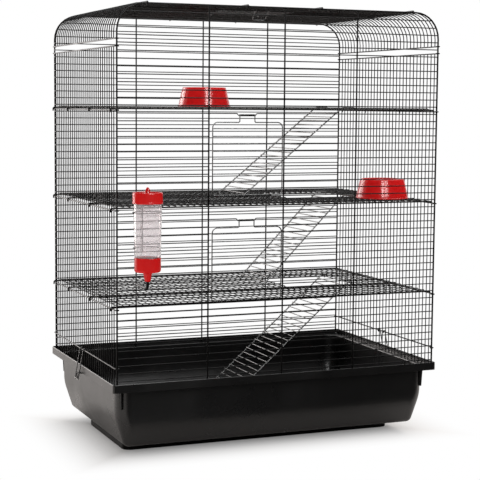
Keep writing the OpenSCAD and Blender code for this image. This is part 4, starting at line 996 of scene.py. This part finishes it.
CAMERA_AT = Vector((-1.2600, -3.0679, 0.7846))
CAMERA_LOOKS = Vector((0.37831, 0.92044, -0.09830))
CAMERA_RIGHT = Vector((0.92518, -0.37944, 0.00764))
LENS, SENSOR, VIEW_END = 103.0, 36.0, 60.0


def seen_rays(tree, kinds):
    """One where a camera ray or a ray of the given kinds asks, and nothing where diffuse light does."""
    path = added(tree, "ShaderNodeLightPath", {})
    total = path["Is Camera Ray"]
    for kind in kinds:
        total = added(tree, "ShaderNodeMath", {0: total, 1: path[kind]}, operation="MAXIMUM")[0]
    return total


def pale_floor():
    """A pale floor that shows the cage's shadow near its foot and turns plain white for the camera beyond."""
    made = bpy.data.materials.new("pale_floor")
    made.use_nodes = True
    tree = made.node_tree
    tree.nodes.clear()
    place = added(tree, "ShaderNodeTexCoord", {})["Object"]
    apart = added(tree, "ShaderNodeVectorMath", {0: place}, operation="ABSOLUTE")["Vector"]
    beyond = added(tree, "ShaderNodeVectorMath", {0: apart, 1: (FOOT[0] * MM, FOOT[1] * MM, 0.0)},
                   operation="SUBTRACT")["Vector"]
    sides = added(tree, "ShaderNodeSeparateXYZ", {0: beyond})
    away = added(tree, "ShaderNodeMath", {0: sides["X"], 1: sides["Y"]}, operation="MAXIMUM")[0]
    rise = added(tree, "ShaderNodeMapRange", {"Value": away, "From Min": SHADE_FROM, "From Max": SHADE_TO,
                                              "To Min": LEAST_WHITE}, interpolation_type="SMOOTHSTEP")
    white = added(tree, "ShaderNodeMath", {0: seen_rays(tree, ["Is Transmission Ray"]), 1: rise["Result"]},
                  operation="MULTIPLY")[0]
    matt = added(tree, "ShaderNodeBsdfDiffuse", {"Color": FLOOR_COLOUR})["BSDF"]
    plain = added(tree, "ShaderNodeEmission", {})["Emission"]
    both = added(tree, "ShaderNodeMixShader", {"Fac": white, 1: matt, 2: plain})["Shader"]
    added(tree, "ShaderNodeOutputMaterial", {"Surface": both})
    return made


def stage_sheets(name, sheets, material):
    """A piece of the stage, made of flat sheets, each given by its corners."""
    mesh = bpy.data.meshes.new(name)
    points, faces = [], []
    for sheet in sheets:
        faces.append(range(len(points), len(points) + len(sheet)))
        points += sheet
    mesh.from_pydata(points, [], faces)
    mesh.materials.append(material)
    piece = bpy.data.objects.new(name, mesh)
    bpy.context.scene.collection.objects.link(piece)
    return piece


def upright_sheet(a, b):
    """The corners of a sheet of the flag that stands over the ground from a to b."""
    return [(*a, FLAG_LOW), (*b, FLAG_LOW), (*b, FLAG_TOP), (*a, FLAG_TOP)]


def lamp_stand(lamp, way, place=(0.0, 0.0, 0.0)):
    """The object that holds a lamp and turns it to shine that way."""
    stand = bpy.data.objects.new(lamp.name, lamp)
    bpy.context.scene.collection.objects.link(stand)
    stand.location = place
    stand.rotation_euler = way.to_track_quat("-Z", "Y").to_euler()
    return stand


def soft_lamp(name, place, target, watts, size, height=None, colour=(1.0, 1.0, 1.0)):
    """A round soft lamp, or a strip where it has a height, which shows only in what shines."""
    lamp = bpy.data.lights.new(name, "AREA")
    lamp.shape, lamp.size, lamp.energy, lamp.color = "DISK", size, watts, colour
    if height:
        lamp.shape, lamp.size_y = "RECTANGLE", height
    lamp_stand(lamp, Vector(target) - Vector(place), place).visible_diffuse = False


floor_corners = [(x * FLOOR_HALF, y * FLOOR_HALF, 0) for x, y in ((-1, -1), (1, -1), (1, 1), (-1, 1))]
stage_sheets("pale_floor", [floor_corners], pale_floor())
dark_cloth = bpy.data.materials.new("dark_cloth")
dark_cloth.use_nodes = True
filled(dark_cloth.node_tree, dark_cloth.node_tree.nodes["Principled BSDF"], {"Base Color": FLAG_COLOUR})
flag = stage_sheets("dark_flag", [upright_sheet(FLAG_GROUND[0], FLAG_GROUND[1]),
                                  [(x, y, FLAG_LOW) for x, y in FLAG_GROUND],
                                  *[upright_sheet((x, FLAG_FRONT), (x, y)) for x, y in FLAG_WINGS]],
                    dark_cloth)
flag.visible_camera = flag.visible_diffuse = flag.visible_shadow = flag.visible_transmission = False

world = bpy.data.worlds.new("white_surround")
bpy.context.scene.world = world
world.use_nodes = True
seen = seen_rays(world.node_tree, ["Is Glossy Ray", "Is Transmission Ray"])
level = added(world.node_tree, "ShaderNodeMapRange", {"Value": seen, "To Min": SURROUND_LEVEL})["Result"]
filled(world.node_tree, world.node_tree.nodes["Background"],
       {"Color": (1.0, 1.0, 1.0, 1.0), "Strength": level})

sun = bpy.data.lights.new("high_light", "SUN")
sun.energy, sun.angle = SUN_STRENGTH, SUN_WIDTH
lamp_stand(sun, SUN_WAY)
soft_lamp("left_card", (-2.2, 3.4, 0.9), (-0.3, 0.0, 0.3), 110.0, 2.6, colour=(1.0, 0.93, 0.90))
for strip, x in (("right_strip_a", -0.30), ("right_strip_b", 0.12)):
    soft_lamp(strip, (x, -1.5, 1.35), (0.1, -0.1, 0.65), 16.0, 0.28, 0.9)

eye = bpy.data.cameras.new("photo_view")
eye.lens, eye.sensor_width, eye.clip_end = LENS, SENSOR, VIEW_END
camera = bpy.data.objects.new("photo_view", eye)
bpy.context.scene.collection.objects.link(camera)
up_axis = CAMERA_RIGHT.cross(CAMERA_LOOKS)
turn = Matrix((CAMERA_RIGHT, up_axis, -CAMERA_LOOKS)).transposed().to_4x4()
camera.matrix_world = Matrix.Translation(CAMERA_AT) @ turn
bpy.context.scene.camera = camera
bpy.context.scene.view_settings.view_transform = "Standard"

bpy.context.view_layer.update()
